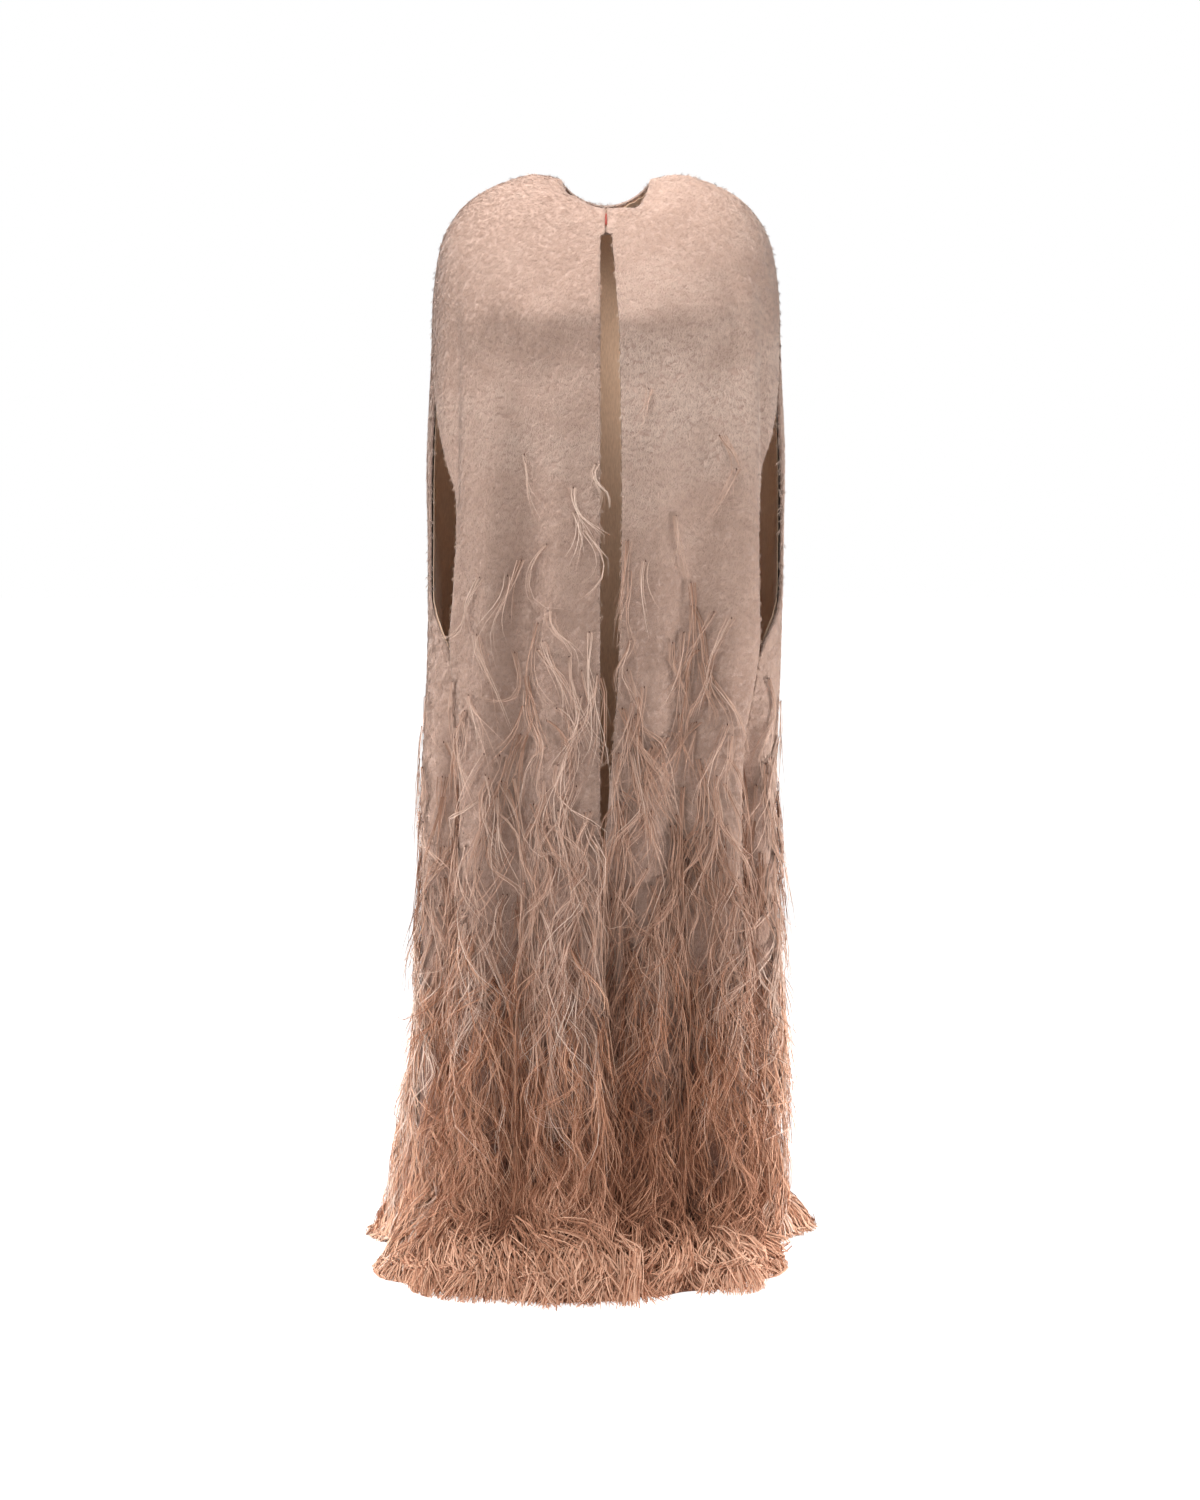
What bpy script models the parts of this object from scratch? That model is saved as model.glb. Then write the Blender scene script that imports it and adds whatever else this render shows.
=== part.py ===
"""Floor-length cape of short-pile fur with feather fringe rows, a satin lining and a hook at the throat.

The cape hangs hollow, as worn. Metres, +Z up, the front faces -Y and the wearer's left is +X.
The origin is between the shoulders, at the height of the shoulder ridge, where the wearer carries the cape.
"""

import math
import random
from collections import namedtuple

import bmesh
import bpy
from mathutils import Matrix, Vector

# Driving dimensions
FUR_WALL = 0.004
LINING_WALL = 0.001
SEAM_GAP = 0.0003
LINING_SET_BACK = 0.005
LINING_EASE = 0.0022
LINING_TOP_ROW = 0.15
COLUMNS_IN_A_FRONT = 12
COLUMNS_IN_THE_BACK = 32
FRINGE_STRIP_HEIGHT = 0.007
FRINGE_STRIP_THICKNESS = 0.0025
FRINGE_CLEARANCE = 0.0025
FRINGE_SET_BACK = 0.010
COLUMNS_FREE_AT_A_SEAM = 1
FRINGE_SEED = 7
HOOK_ROW = 0.55
HOOK_ROW_STEP = 0.2
HOOK_DEPTH = 0.004
HOOK_WIRE_RADIUS = 0.0006
HOOK_BEND_RADIUS = 0.0018
HOOK_SHANK = 0.010
HOOK_NECK = 0.004
HOOK_TONGUE = 0.003
HOOK_SLANT = 0.0022
HOOK_BEND_STEPS = 8
EYE_RADIUS = 0.0035
EYE_OFF_CENTRE = 0.004
EYE_STEPS = 16

# Rings round the body, from the neck edge to the floor. The upper rings have three heights each,
# since the neck and the bust dip, and drop shapes the way from the side's height to the front's and the back's.
# shift_x leans a ring to one side, and right_edge_x and left_edge_x place the two front edges.
# seam_deg is the side seam, counted from the centre front, gape_front and gape_back open the arm slit
# on each side of the seam, and tuck pulls the left front under the right.
Section = namedtuple(
    "Section",
    "name side_z front_z back_z drop half_width shift_x front_reach back_reach squareness "
    "right_edge_x left_edge_x seam_deg gape_front gape_back tuck",
    defaults=(0, 0, 0),
)
LEVEL_DROP = 2.0


def level(name, z, *sizes):
    """A ring at one height all round, with the sizes that follow drop."""
    return Section(name, z, z, z, LEVEL_DROP, *sizes)


SECTIONS = [
    Section("neck edge", -0.006, -0.050, -0.036, 1.7, 0.061, 0, 0.066, 0.066, 2.0, -0.0015, 0.0015, 90),
    Section("neck slope", 0.000, -0.076, -0.056, 1.8, 0.097, 0, 0.086, 0.084, 2.0, -0.0020, 0.0020, 90),
    Section("shoulder top", -0.013, -0.106, -0.086, 1.9, 0.145, 0, 0.104, 0.101, 2.05, -0.008, 0.0090, 90),
    Section("shoulder turn", -0.043, -0.140, -0.122, 2.0, 0.193, 0, 0.123, 0.117, 2.15, -0.008, 0.0125, 90),
    Section("arm top", -0.098, -0.176, -0.170, 2.0, 0.225, 0, 0.139, 0.128, 2.3, -0.008, 0.0150, 89),
    Section("bust", -0.180, -0.214, -0.220, 2.0, 0.236, 0, 0.149, 0.134, 2.4, -0.008, 0.0180, 86),
    Section("slit top", -0.265, -0.276, -0.285, 2.0, 0.238, 0, 0.149, 0.137, 2.4, -0.008, 0.0195, 80),
    level("elbow", -0.440, 0.242, 0, 0.149, 0.143, 2.4, -0.008, 0.0215, 68, 12, 17, 0),
    level("wrist", -0.560, 0.243, -0.001, 0.150, 0.148, 2.4, -0.008, 0.0200, 62, 7, 21, 0),
    level("slit end", -0.665, 0.242, -0.003, 0.152, 0.153, 2.4, -0.008, 0.0170, 58, 0, 0, 0),
    level("hip", -0.850, 0.239, -0.009, 0.157, 0.163, 2.35, -0.008, 0.003, 58, 0, 0, 0.006),
    level("knee", -1.100, 0.242, -0.008, 0.168, 0.183, 2.3, -0.006, -0.018, 58, 0, 0, 0.016),
    level("calf", -1.310, 0.245, -0.009, 0.182, 0.205, 2.25, 0.005, -0.028, 58, 0, 0, 0.022),
    level("ankle", -1.395, 0.248, -0.011, 0.200, 0.226, 2.2, 0.016, -0.030, 58, 0, 0, 0.032),
    level("break", -1.430, 0.254, -0.012, 0.228, 0.253, 2.2, 0.024, -0.030, 58, 0, 0, 0.058),
    level("pool", -1.460, 0.262, -0.013, 0.263, 0.289, 2.2, 0.030, -0.030, 58, 0, 0, 0.092),
    level("hem", -1.4845, 0.270, -0.014, 0.304, 0.322, 2.2, 0.032, -0.030, 58, 0, 0, 0.126),
    level("feather reach", -1.487, 0.281, -0.014, 0.338, 0.350, 2.2, 0.032, -0.030, 58, 0, 0, 0.126),
]
SECTION_INDEX = {section.name: index for index, section in enumerate(SECTIONS)}
HEM_ROW = SECTION_INDEX["hem"]
TUCK_SPREAD_DEG = 9.0
LINING_LAST_ROW = SECTION_INDEX["ankle"]
# Sections that are followed by a half row, where the cloth turns most
SHOULDER_HALF_ROWS = ("neck edge", "neck slope", "shoulder top", "shoulder turn", "arm top")
SLIT_HALF_ROWS = ("slit top", "wrist", "slit end")

# The largest folds: soft ridges (depth over 0) and troughs (depth under 0) down the cloth.
# angle is counted from the centre front towards the wearer's left, spread is half the fold's width,
# and the fold grows from nothing at top_z to its whole depth at full_z.
Fold = namedtuple("Fold", "place angle spread top_z full_z depth")
FOLDS = [
    Fold("right front edge roll", -5, 7, -0.30, -0.85, 0.007),
    Fold("right front trough", -24, 8, -0.20, -0.70, -0.017),
    Fold("right front ridge", -39, 8, -0.24, -0.80, 0.010),
    Fold("right seam trough", -58, 6, -0.60, -0.85, -0.027),
    Fold("right side ridge", -77, 9, -0.60, -0.85, 0.008),
    Fold("right side trough", -99, 8, -0.40, -0.85, -0.018),
    Fold("right back flare", -112, 15, -1.05, -1.38, 0.046),
    Fold("right back ridge", -118, 9, -0.30, -0.85, 0.014),
    Fold("right back trough", -139, 8, -0.28, -0.85, -0.024),
    Fold("right centre back ridge", -157, 9, -0.26, -0.85, 0.015),
    Fold("centre back trough", -176, 8, -0.30, -0.85, -0.020),
    Fold("left centre back ridge", 163, 9, -0.26, -0.85, 0.017),
    Fold("left back trough", 144, 8, -0.30, -0.85, -0.021),
    Fold("left back ridge", 123, 9, -0.34, -0.85, 0.012),
    Fold("left side trough", 102, 8, -0.45, -0.85, -0.020),
    Fold("left side ridge", 78, 9, -0.60, -0.85, 0.006),
    Fold("left seam trough", 58, 6, -0.60, -0.85, -0.027),
    Fold("left front ridge", 45, 8, -0.26, -0.80, 0.011),
    Fold("left front trough", 25, 8, -0.20, -0.75, -0.016),
    Fold("left front edge roll", 9, 6, -0.30, -0.80, 0.006),
]
# Lobes and tucks of the train where the surplus length lies on the floor
TRAIN_TOP_Z = -1.385
TRAIN_FULL_Z = -1.4845
TRAIN = [
    ("right front lobe", -20, 22, 0.020),
    ("right outer lobe", -60, 15, 0.028),
    ("right side tuck", -92, 14, -0.020),
    ("back lobe", 178, 26, 0.020),
    ("left back lobe", 122, 13, 0.054),
    ("left side tuck", 86, 18, -0.046),
    ("left outer tuck", 56, 14, -0.014),
    ("left front lobe", 34, 12, -0.014),
]
for place, angle, spread, depth in TRAIN:
    FOLDS.append(Fold(place, angle, spread, TRAIN_TOP_Z, TRAIN_FULL_Z, depth))

# Places where the neck edge sinks between shoulder and throat, so that the lining shows behind it.
# The dip is whole at the neck edge and ends at the shoulder top.
NeckDip = namedtuple("NeckDip", "place angle spread depth")
NECK_DIPS = [
    NeckDip("left of the throat", 48, 22, 0.016),
    NeckDip("right of the throat", -60, 13, 0.007),
]
NECK_DIP_END_ROW = SECTION_INDEX["shoulder top"]

# Rows of feather fringe on the cloth, top to bottom. Each panel carries its own narrow strip in every row,
# with a lock on every column of the panel's grid or on every second one.
# hidden_columns of the left front lie under the right front and carry none.
# belly and tip are how far a lock stands off the cloth half way down and at its end.
FringeRow = namedtuple("FringeRow", "root_z length every hidden_columns belly tip segments")
FRINGE_ROWS = [
    FringeRow(-0.700, 0.150, 2, 1, 0.005, 0.008, 2),
    FringeRow(-0.855, 0.165, 1, 1, 0.006, 0.009, 2),
    FringeRow(-1.005, 0.170, 1, 2, 0.007, 0.010, 2),
    FringeRow(-1.165, 0.185, 1, 2, 0.008, 0.012, 2),
    FringeRow(-1.335, 0.275, 1, 3, 0.014, 0.000, 3),
]
LOCK_TIP_SHARE = 0.12
LOCK_TAPER = 1.4
LOCK_SWAY = 0.30
SHORTEST_LOCK = 0.85

FUR = ("fur", (0.62, 0.47, 0.40), 0.95, 0.0)
SATIN = ("satin_lining", (0.60, 0.40, 0.27), 0.40, 0.0)
FEATHER = ("ostrich_feather", (0.52, 0.33, 0.24), 0.80, 0.0)
WIRE = ("hook_wire", (0.20, 0.11, 0.08), 0.35, 1.0)

PANELS = ("front_right", "front_left", "back")


def column_slopes(values):
    """Slopes at the rows of a table column that keep the curve between two rows inside their values."""
    steps = [b - a for a, b in zip(values, values[1:])]
    slopes = [steps[0]]
    for before, after in zip(steps, steps[1:]):
        slopes.append(2 * before * after / (before + after) if before * after > 0 else 0.0)
    return slopes + [steps[-1]]


COLUMNS = {name: [getattr(s, name) for s in SECTIONS] for name in Section._fields[1:]}
SLOPES = {name: column_slopes(values) for name, values in COLUMNS.items()}


def column(name, row):
    """A column of SECTIONS read at a row number, which may fall between two rows."""
    values, slopes = COLUMNS[name], SLOPES[name]
    i = min(max(int(math.floor(row)), 0), len(values) - 2)
    t = row - i
    start = (1 + 2 * t) * (1 - t) ** 2 * values[i] + t * (1 - t) ** 2 * slopes[i]
    end = t * t * (3 - 2 * t) * values[i + 1] + t * t * (t - 1) * slopes[i + 1]
    return start + end


def ramp(value, start, end):
    """0 at start and 1 at end, with a soft beginning and end."""
    t = min(max((value - start) / (end - start), 0.0), 1.0)
    return t * t * (3 - 2 * t)


def signed_power(value, exponent):
    return math.copysign(abs(value) ** exponent, value)


def turn_between(a, b):
    """The angle from b to a in degrees, the short way round."""
    return (a - b + 180) % 360 - 180


def surface(panel, angle, row):
    """A point on the cape's outer face: angle in degrees from the centre front, row as in SECTIONS."""
    a = math.radians(angle)
    sine, cosine = math.sin(a), math.cos(a)
    square = column("squareness", row)
    in_front = cosine > 0
    reach = column("front_reach" if in_front else "back_reach", row)
    width = column("half_width", row)
    side_z = column("side_z", row)
    end_z = column("front_z" if in_front else "back_z", row)
    z = side_z + (end_z - side_z) * abs(cosine) ** column("drop", row)
    for dip in NECK_DIPS:
        off = turn_between(angle, dip.angle) / dip.spread
        z -= dip.depth * math.exp(-off * off) * ramp(row, NECK_DIP_END_ROW, 0)
    x = column("shift_x", row) + width * signed_power(sine, 2 / square)
    point = Vector((x, -reach * signed_power(cosine, 2 / square), z))

    across = signed_power(sine, 2 - 2 / square) / width
    along = -signed_power(cosine, 2 - 2 / square) / reach
    outward = Vector((across, along, 0)).normalized()
    depth = 0.0
    for fold in FOLDS:
        off = turn_between(angle, fold.angle) / fold.spread
        if abs(off) < 4:
            depth += fold.depth * math.exp(-off * off) * ramp(z, fold.top_z, fold.full_z)
    point += outward * depth
    if panel == "front_left":
        point.y += column("tuck", row) * math.exp(-((angle / TUCK_SPREAD_DEG) ** 2))
    return point


def normal_at(panel, angle, row):
    """The outward normal of the outer face."""
    turn_step, row_step = 0.5, 0.02
    last_row = len(SECTIONS) - 1
    upper, lower = max(row - row_step, 0), min(row + row_step, last_row)
    down = surface(panel, angle, lower) - surface(panel, angle, upper)
    around = surface(panel, angle + turn_step, row) - surface(panel, angle - turn_step, row)
    return down.cross(around).normalized()


def edge_angle(edge_x, row):
    """The angle at which a ring passes a front edge's x."""
    from_middle = edge_x - column("shift_x", row)
    share = abs(from_middle) / column("half_width", row)
    return math.degrees(math.copysign(math.asin(share ** (column("squareness", row) / 2)), from_middle))


def panel_edges(panel, row):
    """The angles of a panel's two edges in one ring. The seams stand open by SEAM_GAP."""
    seam_half = math.degrees(SEAM_GAP / column("front_reach", row))
    front_seam = column("seam_deg", row) - column("gape_front", row) - seam_half
    back_seam = column("seam_deg", row) + column("gape_back", row) + seam_half
    if panel == "front_right":
        return -front_seam, edge_angle(column("right_edge_x", row), row)
    if panel == "front_left":
        return edge_angle(column("left_edge_x", row), row), front_seam
    return back_seam, 360 - back_seam


def grid_rows(last_row, half_rows):
    """Whole row numbers down to last_row, with a half row after each of the named sections."""
    return sorted([*range(last_row + 1), *(SECTION_INDEX[name] + 0.5 for name in half_rows)])


# The grid's last row lies beyond the hem and is for the feathers only.
GRID_ROWS = grid_rows(len(SECTIONS) - 1, SHOULDER_HALF_ROWS + SLIT_HALF_ROWS)
LINING_ROWS = grid_rows(LINING_LAST_ROW, SLIT_HALF_ROWS)
GRID_COLUMNS = {
    "front_right": COLUMNS_IN_A_FRONT,
    "front_left": COLUMNS_IN_A_FRONT,
    "back": COLUMNS_IN_THE_BACK,
}


def cloth_grid(panel):
    """Points and normals of a panel's outer face, row by row, from which all that lies on it is made."""
    columns = GRID_COLUMNS[panel]
    grid = []
    for row in GRID_ROWS:
        start, end = panel_edges(panel, row)
        angles = [start + (end - start) * i / columns for i in range(columns + 1)]
        grid.append([(surface(panel, angle, row), normal_at(panel, angle, row)) for angle in angles])
    return grid


def on_cloth(panel, across, row, offset):
    """A point at an offset out from a panel's flat cells: across is 0 to 1 over its width, row as in SECTIONS."""
    grid = GRIDS[panel]
    columns = GRID_COLUMNS[panel]
    i = min(int(across * columns), columns - 1)
    j = max(k for k in range(len(GRID_ROWS) - 1) if GRID_ROWS[k] <= row)
    u = across * columns - i
    v = (row - GRID_ROWS[j]) / (GRID_ROWS[j + 1] - GRID_ROWS[j])
    shares = [(grid[j][i], 1 - max(u, v)), (grid[j + 1][i + 1], min(u, v))]
    shares.append((grid[j][i + 1], u - v) if u >= v else (grid[j + 1][i], v - u))
    point = sum((corner[0] * share for corner, share in shares), Vector())
    normal = sum((corner[1] * share for corner, share in shares), Vector())
    return point + normal.normalized() * offset


def width_at(panel, row):
    """The panel's width along a row, measured over its cells."""
    columns = GRID_COLUMNS[panel]
    points = [on_cloth(panel, i / columns, row, 0) for i in range(columns + 1)]
    return sum((b - a).length for a, b in zip(points, points[1:]))


def row_at_height(z):
    """The row at a height under the arm slit, where the rings are level."""
    heights = COLUMNS["side_z"]
    i = max(k for k in range(SECTION_INDEX["slit end"], len(heights) - 1) if heights[k] >= z)
    return i + (heights[i] - z) / (heights[i] - heights[i + 1])


def row_below(panel, across, row, distance):
    """The row reached by going a distance down the cloth from a row."""
    step = 0.02
    last_row = len(SECTIONS) - 1
    here = on_cloth(panel, across, row, 0)
    while distance > 0 and row < last_row - step:
        row += step
        there = on_cloth(panel, across, row, 0)
        distance -= (there - here).length
        here = there
    return row


def material(name, colour, roughness, metallic):
    made = bpy.data.materials.get(name)
    if made is None:
        made = bpy.data.materials.new(name)
        made.use_nodes = True
        shader = made.node_tree.nodes["Principled BSDF"]
        shader.inputs["Base Color"].default_value = (*colour, 1)
        shader.inputs["Roughness"].default_value = roughness
        shader.inputs["Metallic"].default_value = metallic
    return made


def add_object(name, data, finish):
    data.materials.append(material(*finish))
    made = bpy.data.objects.new(name, data)
    collection.objects.link(made)
    made.parent = shoulders
    return made


def flat_slab(columns, rows):
    """A closed flat slab of square cells: x from 0 to columns, y from 0 to rows, z 0 inside and 1 outside."""
    slab = bmesh.new()
    bmesh.ops.create_grid(slab, x_segments=columns, y_segments=rows, size=0.5)
    bmesh.ops.solidify(slab, geom=slab.faces[:], thickness=1.0)
    lowest = min(v.co.z for v in slab.verts)
    for v in slab.verts:
        v.co = Vector((round((v.co.x + 0.5) * columns), round((0.5 - v.co.y) * rows), round(v.co.z - lowest)))
    return slab


def finished_mesh(name, shape):
    bmesh.ops.recalc_face_normals(shape, faces=shape.faces[:])
    if shape.calc_volume(signed=True) < 0:
        bmesh.ops.reverse_faces(shape, faces=shape.faces[:])
    mesh = bpy.data.meshes.new(name)
    shape.to_mesh(mesh)
    shape.free()
    mesh.shade_smooth()
    mesh.set_sharp_from_angle(angle=math.radians(50))
    return mesh


def cut_cells(slab):
    """Each cell is cut between the same two corners, as on_cloth reads it, so both sides of a seam twist alike."""
    for face in slab.faces[:]:
        corners = sorted(face.verts, key=lambda v: sum(v.co))
        bmesh.utils.face_split(face, corners[0], corners[-1])


def fur_panel(panel):
    """One fur panel as a closed wall: a flat slab bent on to the panel's grid."""
    columns = GRID_COLUMNS[panel]
    slab = flat_slab(columns, GRID_ROWS.index(HEM_ROW))
    cut_cells(slab)
    for v in slab.verts:
        v.co = on_cloth(panel, v.co.x / columns, GRID_ROWS[int(v.co.y)], FUR_WALL * (v.co.z - 1))
    return add_object(panel, finished_mesh(panel, slab), FUR)


def lining_panel(panel):
    """The satin under one fur panel, set back from the neck, the front edge, the slit and the hem."""
    name = f"lining_{panel}"
    columns = GRID_COLUMNS[panel]
    slab = flat_slab(columns, len(LINING_ROWS) - 1)
    cut_cells(slab)
    for v in slab.verts:
        row = max(LINING_ROWS[int(v.co.y)], LINING_TOP_ROW)
        set_back = LINING_SET_BACK / width_at(panel, row)
        across = min(max(v.co.x / columns, set_back), 1 - set_back)
        v.co = on_cloth(panel, across, row, -FUR_WALL - LINING_EASE + LINING_WALL * (v.co.z - 1))
    return add_object(name, finished_mesh(name, slab), SATIN)


def fringe_strip(panel, number, fringe, chance):
    """One row of feather fringe on a panel: a narrow strip over its columns, with locks under the cells."""
    name = f"feathers_{panel}_{number}"
    columns = GRID_COLUMNS[panel]
    first = fringe.hidden_columns if panel == "front_left" else COLUMNS_FREE_AT_A_SEAM
    last = columns if panel == "front_right" else columns - COLUMNS_FREE_AT_A_SEAM
    top_row = row_at_height(fringe.root_z)
    low_row = row_at_height(fringe.root_z - FRINGE_STRIP_HEIGHT)
    set_back = FRINGE_SET_BACK / width_at(panel, top_row)

    def place(column_edge, row, offset):
        across = min(max(column_edge / columns, set_back), 1 - set_back)
        return on_cloth(panel, across, row, offset)

    strip = flat_slab(last - first, 1)
    for v in strip.verts:
        v.co.x += first
    shaped = {}
    for v in strip.verts:
        row = top_row if v.co.y == 0 else low_row
        shaped[v] = place(v.co.x, row, FRINGE_CLEARANCE + FRINGE_STRIP_THICKNESS * v.co.z)
    roots = {round(min(v.co.x for v in f.verts)): f for f in strip.faces if all(v.co.y == 1 for v in f.verts)}
    for cell in range(first + number % fringe.every, last, fringe.every):
        face = roots[cell]
        middle = cell + 0.5
        sway = chance.uniform(-LOCK_SWAY, LOCK_SWAY)
        length = fringe.length * chance.uniform(SHORTEST_LOCK, 1.0)
        for segment in range(1, fringe.segments + 1):
            share = segment / fringe.segments
            row = row_below(panel, middle / columns, low_row, length * share)
            half = (1 - (1 - LOCK_TIP_SHARE) * share ** LOCK_TAPER) / 2
            lift = fringe.tip * share + (fringe.belly - fringe.tip / 2) * 4 * share * (1 - share)
            face = bmesh.ops.extrude_discrete_faces(strip, faces=[face])["faces"][0]
            for v in face.verts:
                side = 1 if v.co.x > middle else -1
                thickness = FRINGE_STRIP_THICKNESS * (1 - share / 2)
                offset = FRINGE_CLEARANCE + lift + thickness * v.co.z
                shaped[v] = place(middle + sway * share + side * half, row, offset)
    for v, spot in shaped.items():
        v.co = spot
    return add_object(name, finished_mesh(name, strip), FEATHER)


def wire(name, points, closed):
    """A bent wire through points, round in section."""
    curve = bpy.data.curves.new(name, "CURVE")
    curve.dimensions = "3D"
    curve.bevel_depth = HOOK_WIRE_RADIUS
    curve.bevel_resolution = 1
    curve.use_fill_caps = True
    spline = curve.splines.new("POLY")
    spline.points.add(len(points) - 1)
    for target, place in zip(spline.points, points):
        target.co = (*place, 1)
    spline.use_cyclic_u = closed
    return add_object(name, curve, WIRE)


def throat_frame():
    """Where the hook lies, behind the front edges at the throat: X across, Y down the cloth, Z inwards."""
    inside = -(FUR_WALL + HOOK_DEPTH)

    def between_the_edges(row):
        return (on_cloth("front_right", 1, row, inside) + on_cloth("front_left", 0, row, inside)) / 2

    upper = between_the_edges(HOOK_ROW)
    across = Vector((1, 0, 0))
    down = (between_the_edges(HOOK_ROW + HOOK_ROW_STEP) - upper).normalized()
    inwards = across.cross(down)
    return Matrix.Translation(upper) @ Matrix((across, down, inwards)).transposed().to_4x4()


def throat_hook():
    """Hook on the right front and eye on the left: the hook's tongue passes through the eye and back."""
    frame = throat_frame()
    eye = []
    for i in range(EYE_STEPS):
        turn = 2 * math.pi * i / EYE_STEPS
        eye.append((EYE_OFF_CENTRE + EYE_RADIUS * math.cos(turn), EYE_RADIUS * math.sin(turn), 0))
    wire("neck_eye", eye, closed=True).matrix_local = frame

    rim_x = EYE_OFF_CENTRE - EYE_RADIUS
    hook = [(rim_x - HOOK_SHANK, HOOK_SLANT, HOOK_BEND_RADIUS), (rim_x - HOOK_NECK, 0, HOOK_BEND_RADIUS)]
    for i in range(HOOK_BEND_STEPS + 1):
        turn = math.pi * (0.5 - i / HOOK_BEND_STEPS)
        hook.append((rim_x + HOOK_BEND_RADIUS * math.cos(turn), 0, HOOK_BEND_RADIUS * math.sin(turn)))
    hook.append((rim_x - HOOK_TONGUE, 0, -HOOK_BEND_RADIUS))
    wire("neck_hook", hook, closed=False).matrix_local = frame


for old in list(bpy.data.objects):
    bpy.data.objects.remove(old)
collection = bpy.data.collections.new("feathered_cape")
bpy.context.scene.collection.children.link(collection)
shoulders = bpy.data.objects.new("shoulders", None)
collection.objects.link(shoulders)

GRIDS = {panel_name: cloth_grid(panel_name) for panel_name in PANELS}
for panel_name in PANELS:
    fur_panel(panel_name)
    lining_panel(panel_name)
    picks = random.Random(f"{FRINGE_SEED}{panel_name}")
    for tier, fringe_row in enumerate(FRINGE_ROWS, start=1):
        fringe_strip(panel_name, tier, fringe_row, picks)
throat_hook()
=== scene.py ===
import math
from collections import namedtuple

import bpy
import numpy as np
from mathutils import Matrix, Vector


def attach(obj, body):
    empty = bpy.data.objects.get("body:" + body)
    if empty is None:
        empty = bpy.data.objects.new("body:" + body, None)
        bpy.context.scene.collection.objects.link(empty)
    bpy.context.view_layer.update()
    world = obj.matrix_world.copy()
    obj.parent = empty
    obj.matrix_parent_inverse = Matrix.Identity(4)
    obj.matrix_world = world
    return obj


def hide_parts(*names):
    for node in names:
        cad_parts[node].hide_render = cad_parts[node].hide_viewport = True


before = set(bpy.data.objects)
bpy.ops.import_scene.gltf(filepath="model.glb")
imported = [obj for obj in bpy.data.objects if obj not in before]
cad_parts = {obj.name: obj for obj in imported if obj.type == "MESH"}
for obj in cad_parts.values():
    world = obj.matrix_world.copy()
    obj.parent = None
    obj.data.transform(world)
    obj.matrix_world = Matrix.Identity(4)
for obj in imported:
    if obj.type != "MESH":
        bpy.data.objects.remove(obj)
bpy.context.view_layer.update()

# Fur panels: two fronts and a back of sheared short-pile fur, cut in one length from the neck to the floor.
# They are sewn together along the shoulder ridge and the sides and left open at the arm slits.
# The rings and the large folds are those of the solids, read at a finer step, and smaller creases are added.
FUR_WALL = 0.004
SEAM_GAP = 0.0003
PANELS = ("front_right", "front_left", "back")
PANEL_COLUMNS = {"front_right": 46, "front_left": 46, "back": 104}
PANEL_STEP_DOWN = {"front_right": 0.0105, "front_left": 0.0105, "back": 0.0140}

Section = namedtuple(
    "Section",
    "name side_z front_z back_z drop half_width shift_x front_reach back_reach squareness "
    "right_edge_x left_edge_x seam_deg gape_front gape_back tuck",
    defaults=(0, 0, 0),
)


def level(name, z, *sizes):
    """A ring at one height all round, with the sizes that follow drop."""
    return Section(name, z, z, z, 2.0, *sizes)


SECTIONS = [
    Section("neck edge", -0.006, -0.050, -0.036, 1.7, 0.061, 0, 0.066, 0.066, 2.0, -0.0015, 0.0015, 90),
    Section("neck slope", 0.000, -0.076, -0.056, 1.8, 0.097, 0, 0.086, 0.084, 2.0, -0.0020, 0.0020, 90),
    Section("shoulder top", -0.013, -0.106, -0.086, 1.9, 0.145, 0, 0.104, 0.101, 2.05, -0.008, 0.0090, 90),
    Section("shoulder turn", -0.043, -0.140, -0.122, 2.0, 0.193, 0, 0.123, 0.117, 2.15, -0.008, 0.0125, 90),
    Section("arm top", -0.098, -0.176, -0.170, 2.0, 0.225, 0, 0.139, 0.128, 2.3, -0.008, 0.0150, 89),
    Section("bust", -0.180, -0.214, -0.220, 2.0, 0.236, 0, 0.149, 0.134, 2.4, -0.008, 0.0180, 86),
    Section("slit top", -0.265, -0.276, -0.285, 2.0, 0.238, 0, 0.149, 0.137, 2.4, -0.008, 0.0195, 80),
    level("elbow", -0.440, 0.242, 0, 0.149, 0.143, 2.4, -0.008, 0.0215, 68, 12, 17, 0),
    level("wrist", -0.560, 0.243, -0.001, 0.150, 0.148, 2.4, -0.008, 0.0200, 62, 7, 21, 0),
    level("slit end", -0.665, 0.242, -0.003, 0.152, 0.153, 2.4, -0.008, 0.0170, 58, 0, 0, 0),
    level("hip", -0.850, 0.239, -0.009, 0.157, 0.163, 2.35, -0.008, 0.003, 58, 0, 0, 0.006),
    level("knee", -1.100, 0.242, -0.008, 0.168, 0.183, 2.3, -0.006, -0.018, 58, 0, 0, 0.016),
    level("calf", -1.310, 0.245, -0.009, 0.182, 0.205, 2.25, 0.005, -0.028, 58, 0, 0, 0.022),
    level("ankle", -1.395, 0.248, -0.011, 0.200, 0.226, 2.2, 0.016, -0.030, 58, 0, 0, 0.032),
    level("break", -1.430, 0.254, -0.012, 0.228, 0.253, 2.2, 0.024, -0.030, 58, 0, 0, 0.058),
    level("pool", -1.460, 0.262, -0.013, 0.263, 0.289, 2.2, 0.030, -0.030, 58, 0, 0, 0.092),
    level("hem", -1.4845, 0.270, -0.014, 0.304, 0.322, 2.2, 0.032, -0.030, 58, 0, 0, 0.126),
    level("feather reach", -1.487, 0.281, -0.014, 0.338, 0.350, 2.2, 0.032, -0.030, 58, 0, 0, 0.126),
]
SECTION_ROW = {section.name: row for row, section in enumerate(SECTIONS)}
# Feathers may end a little past the last ring
LAST_ROW = len(SECTIONS) - 0.25
TUCK_SPREAD_DEG = 9.0

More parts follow.
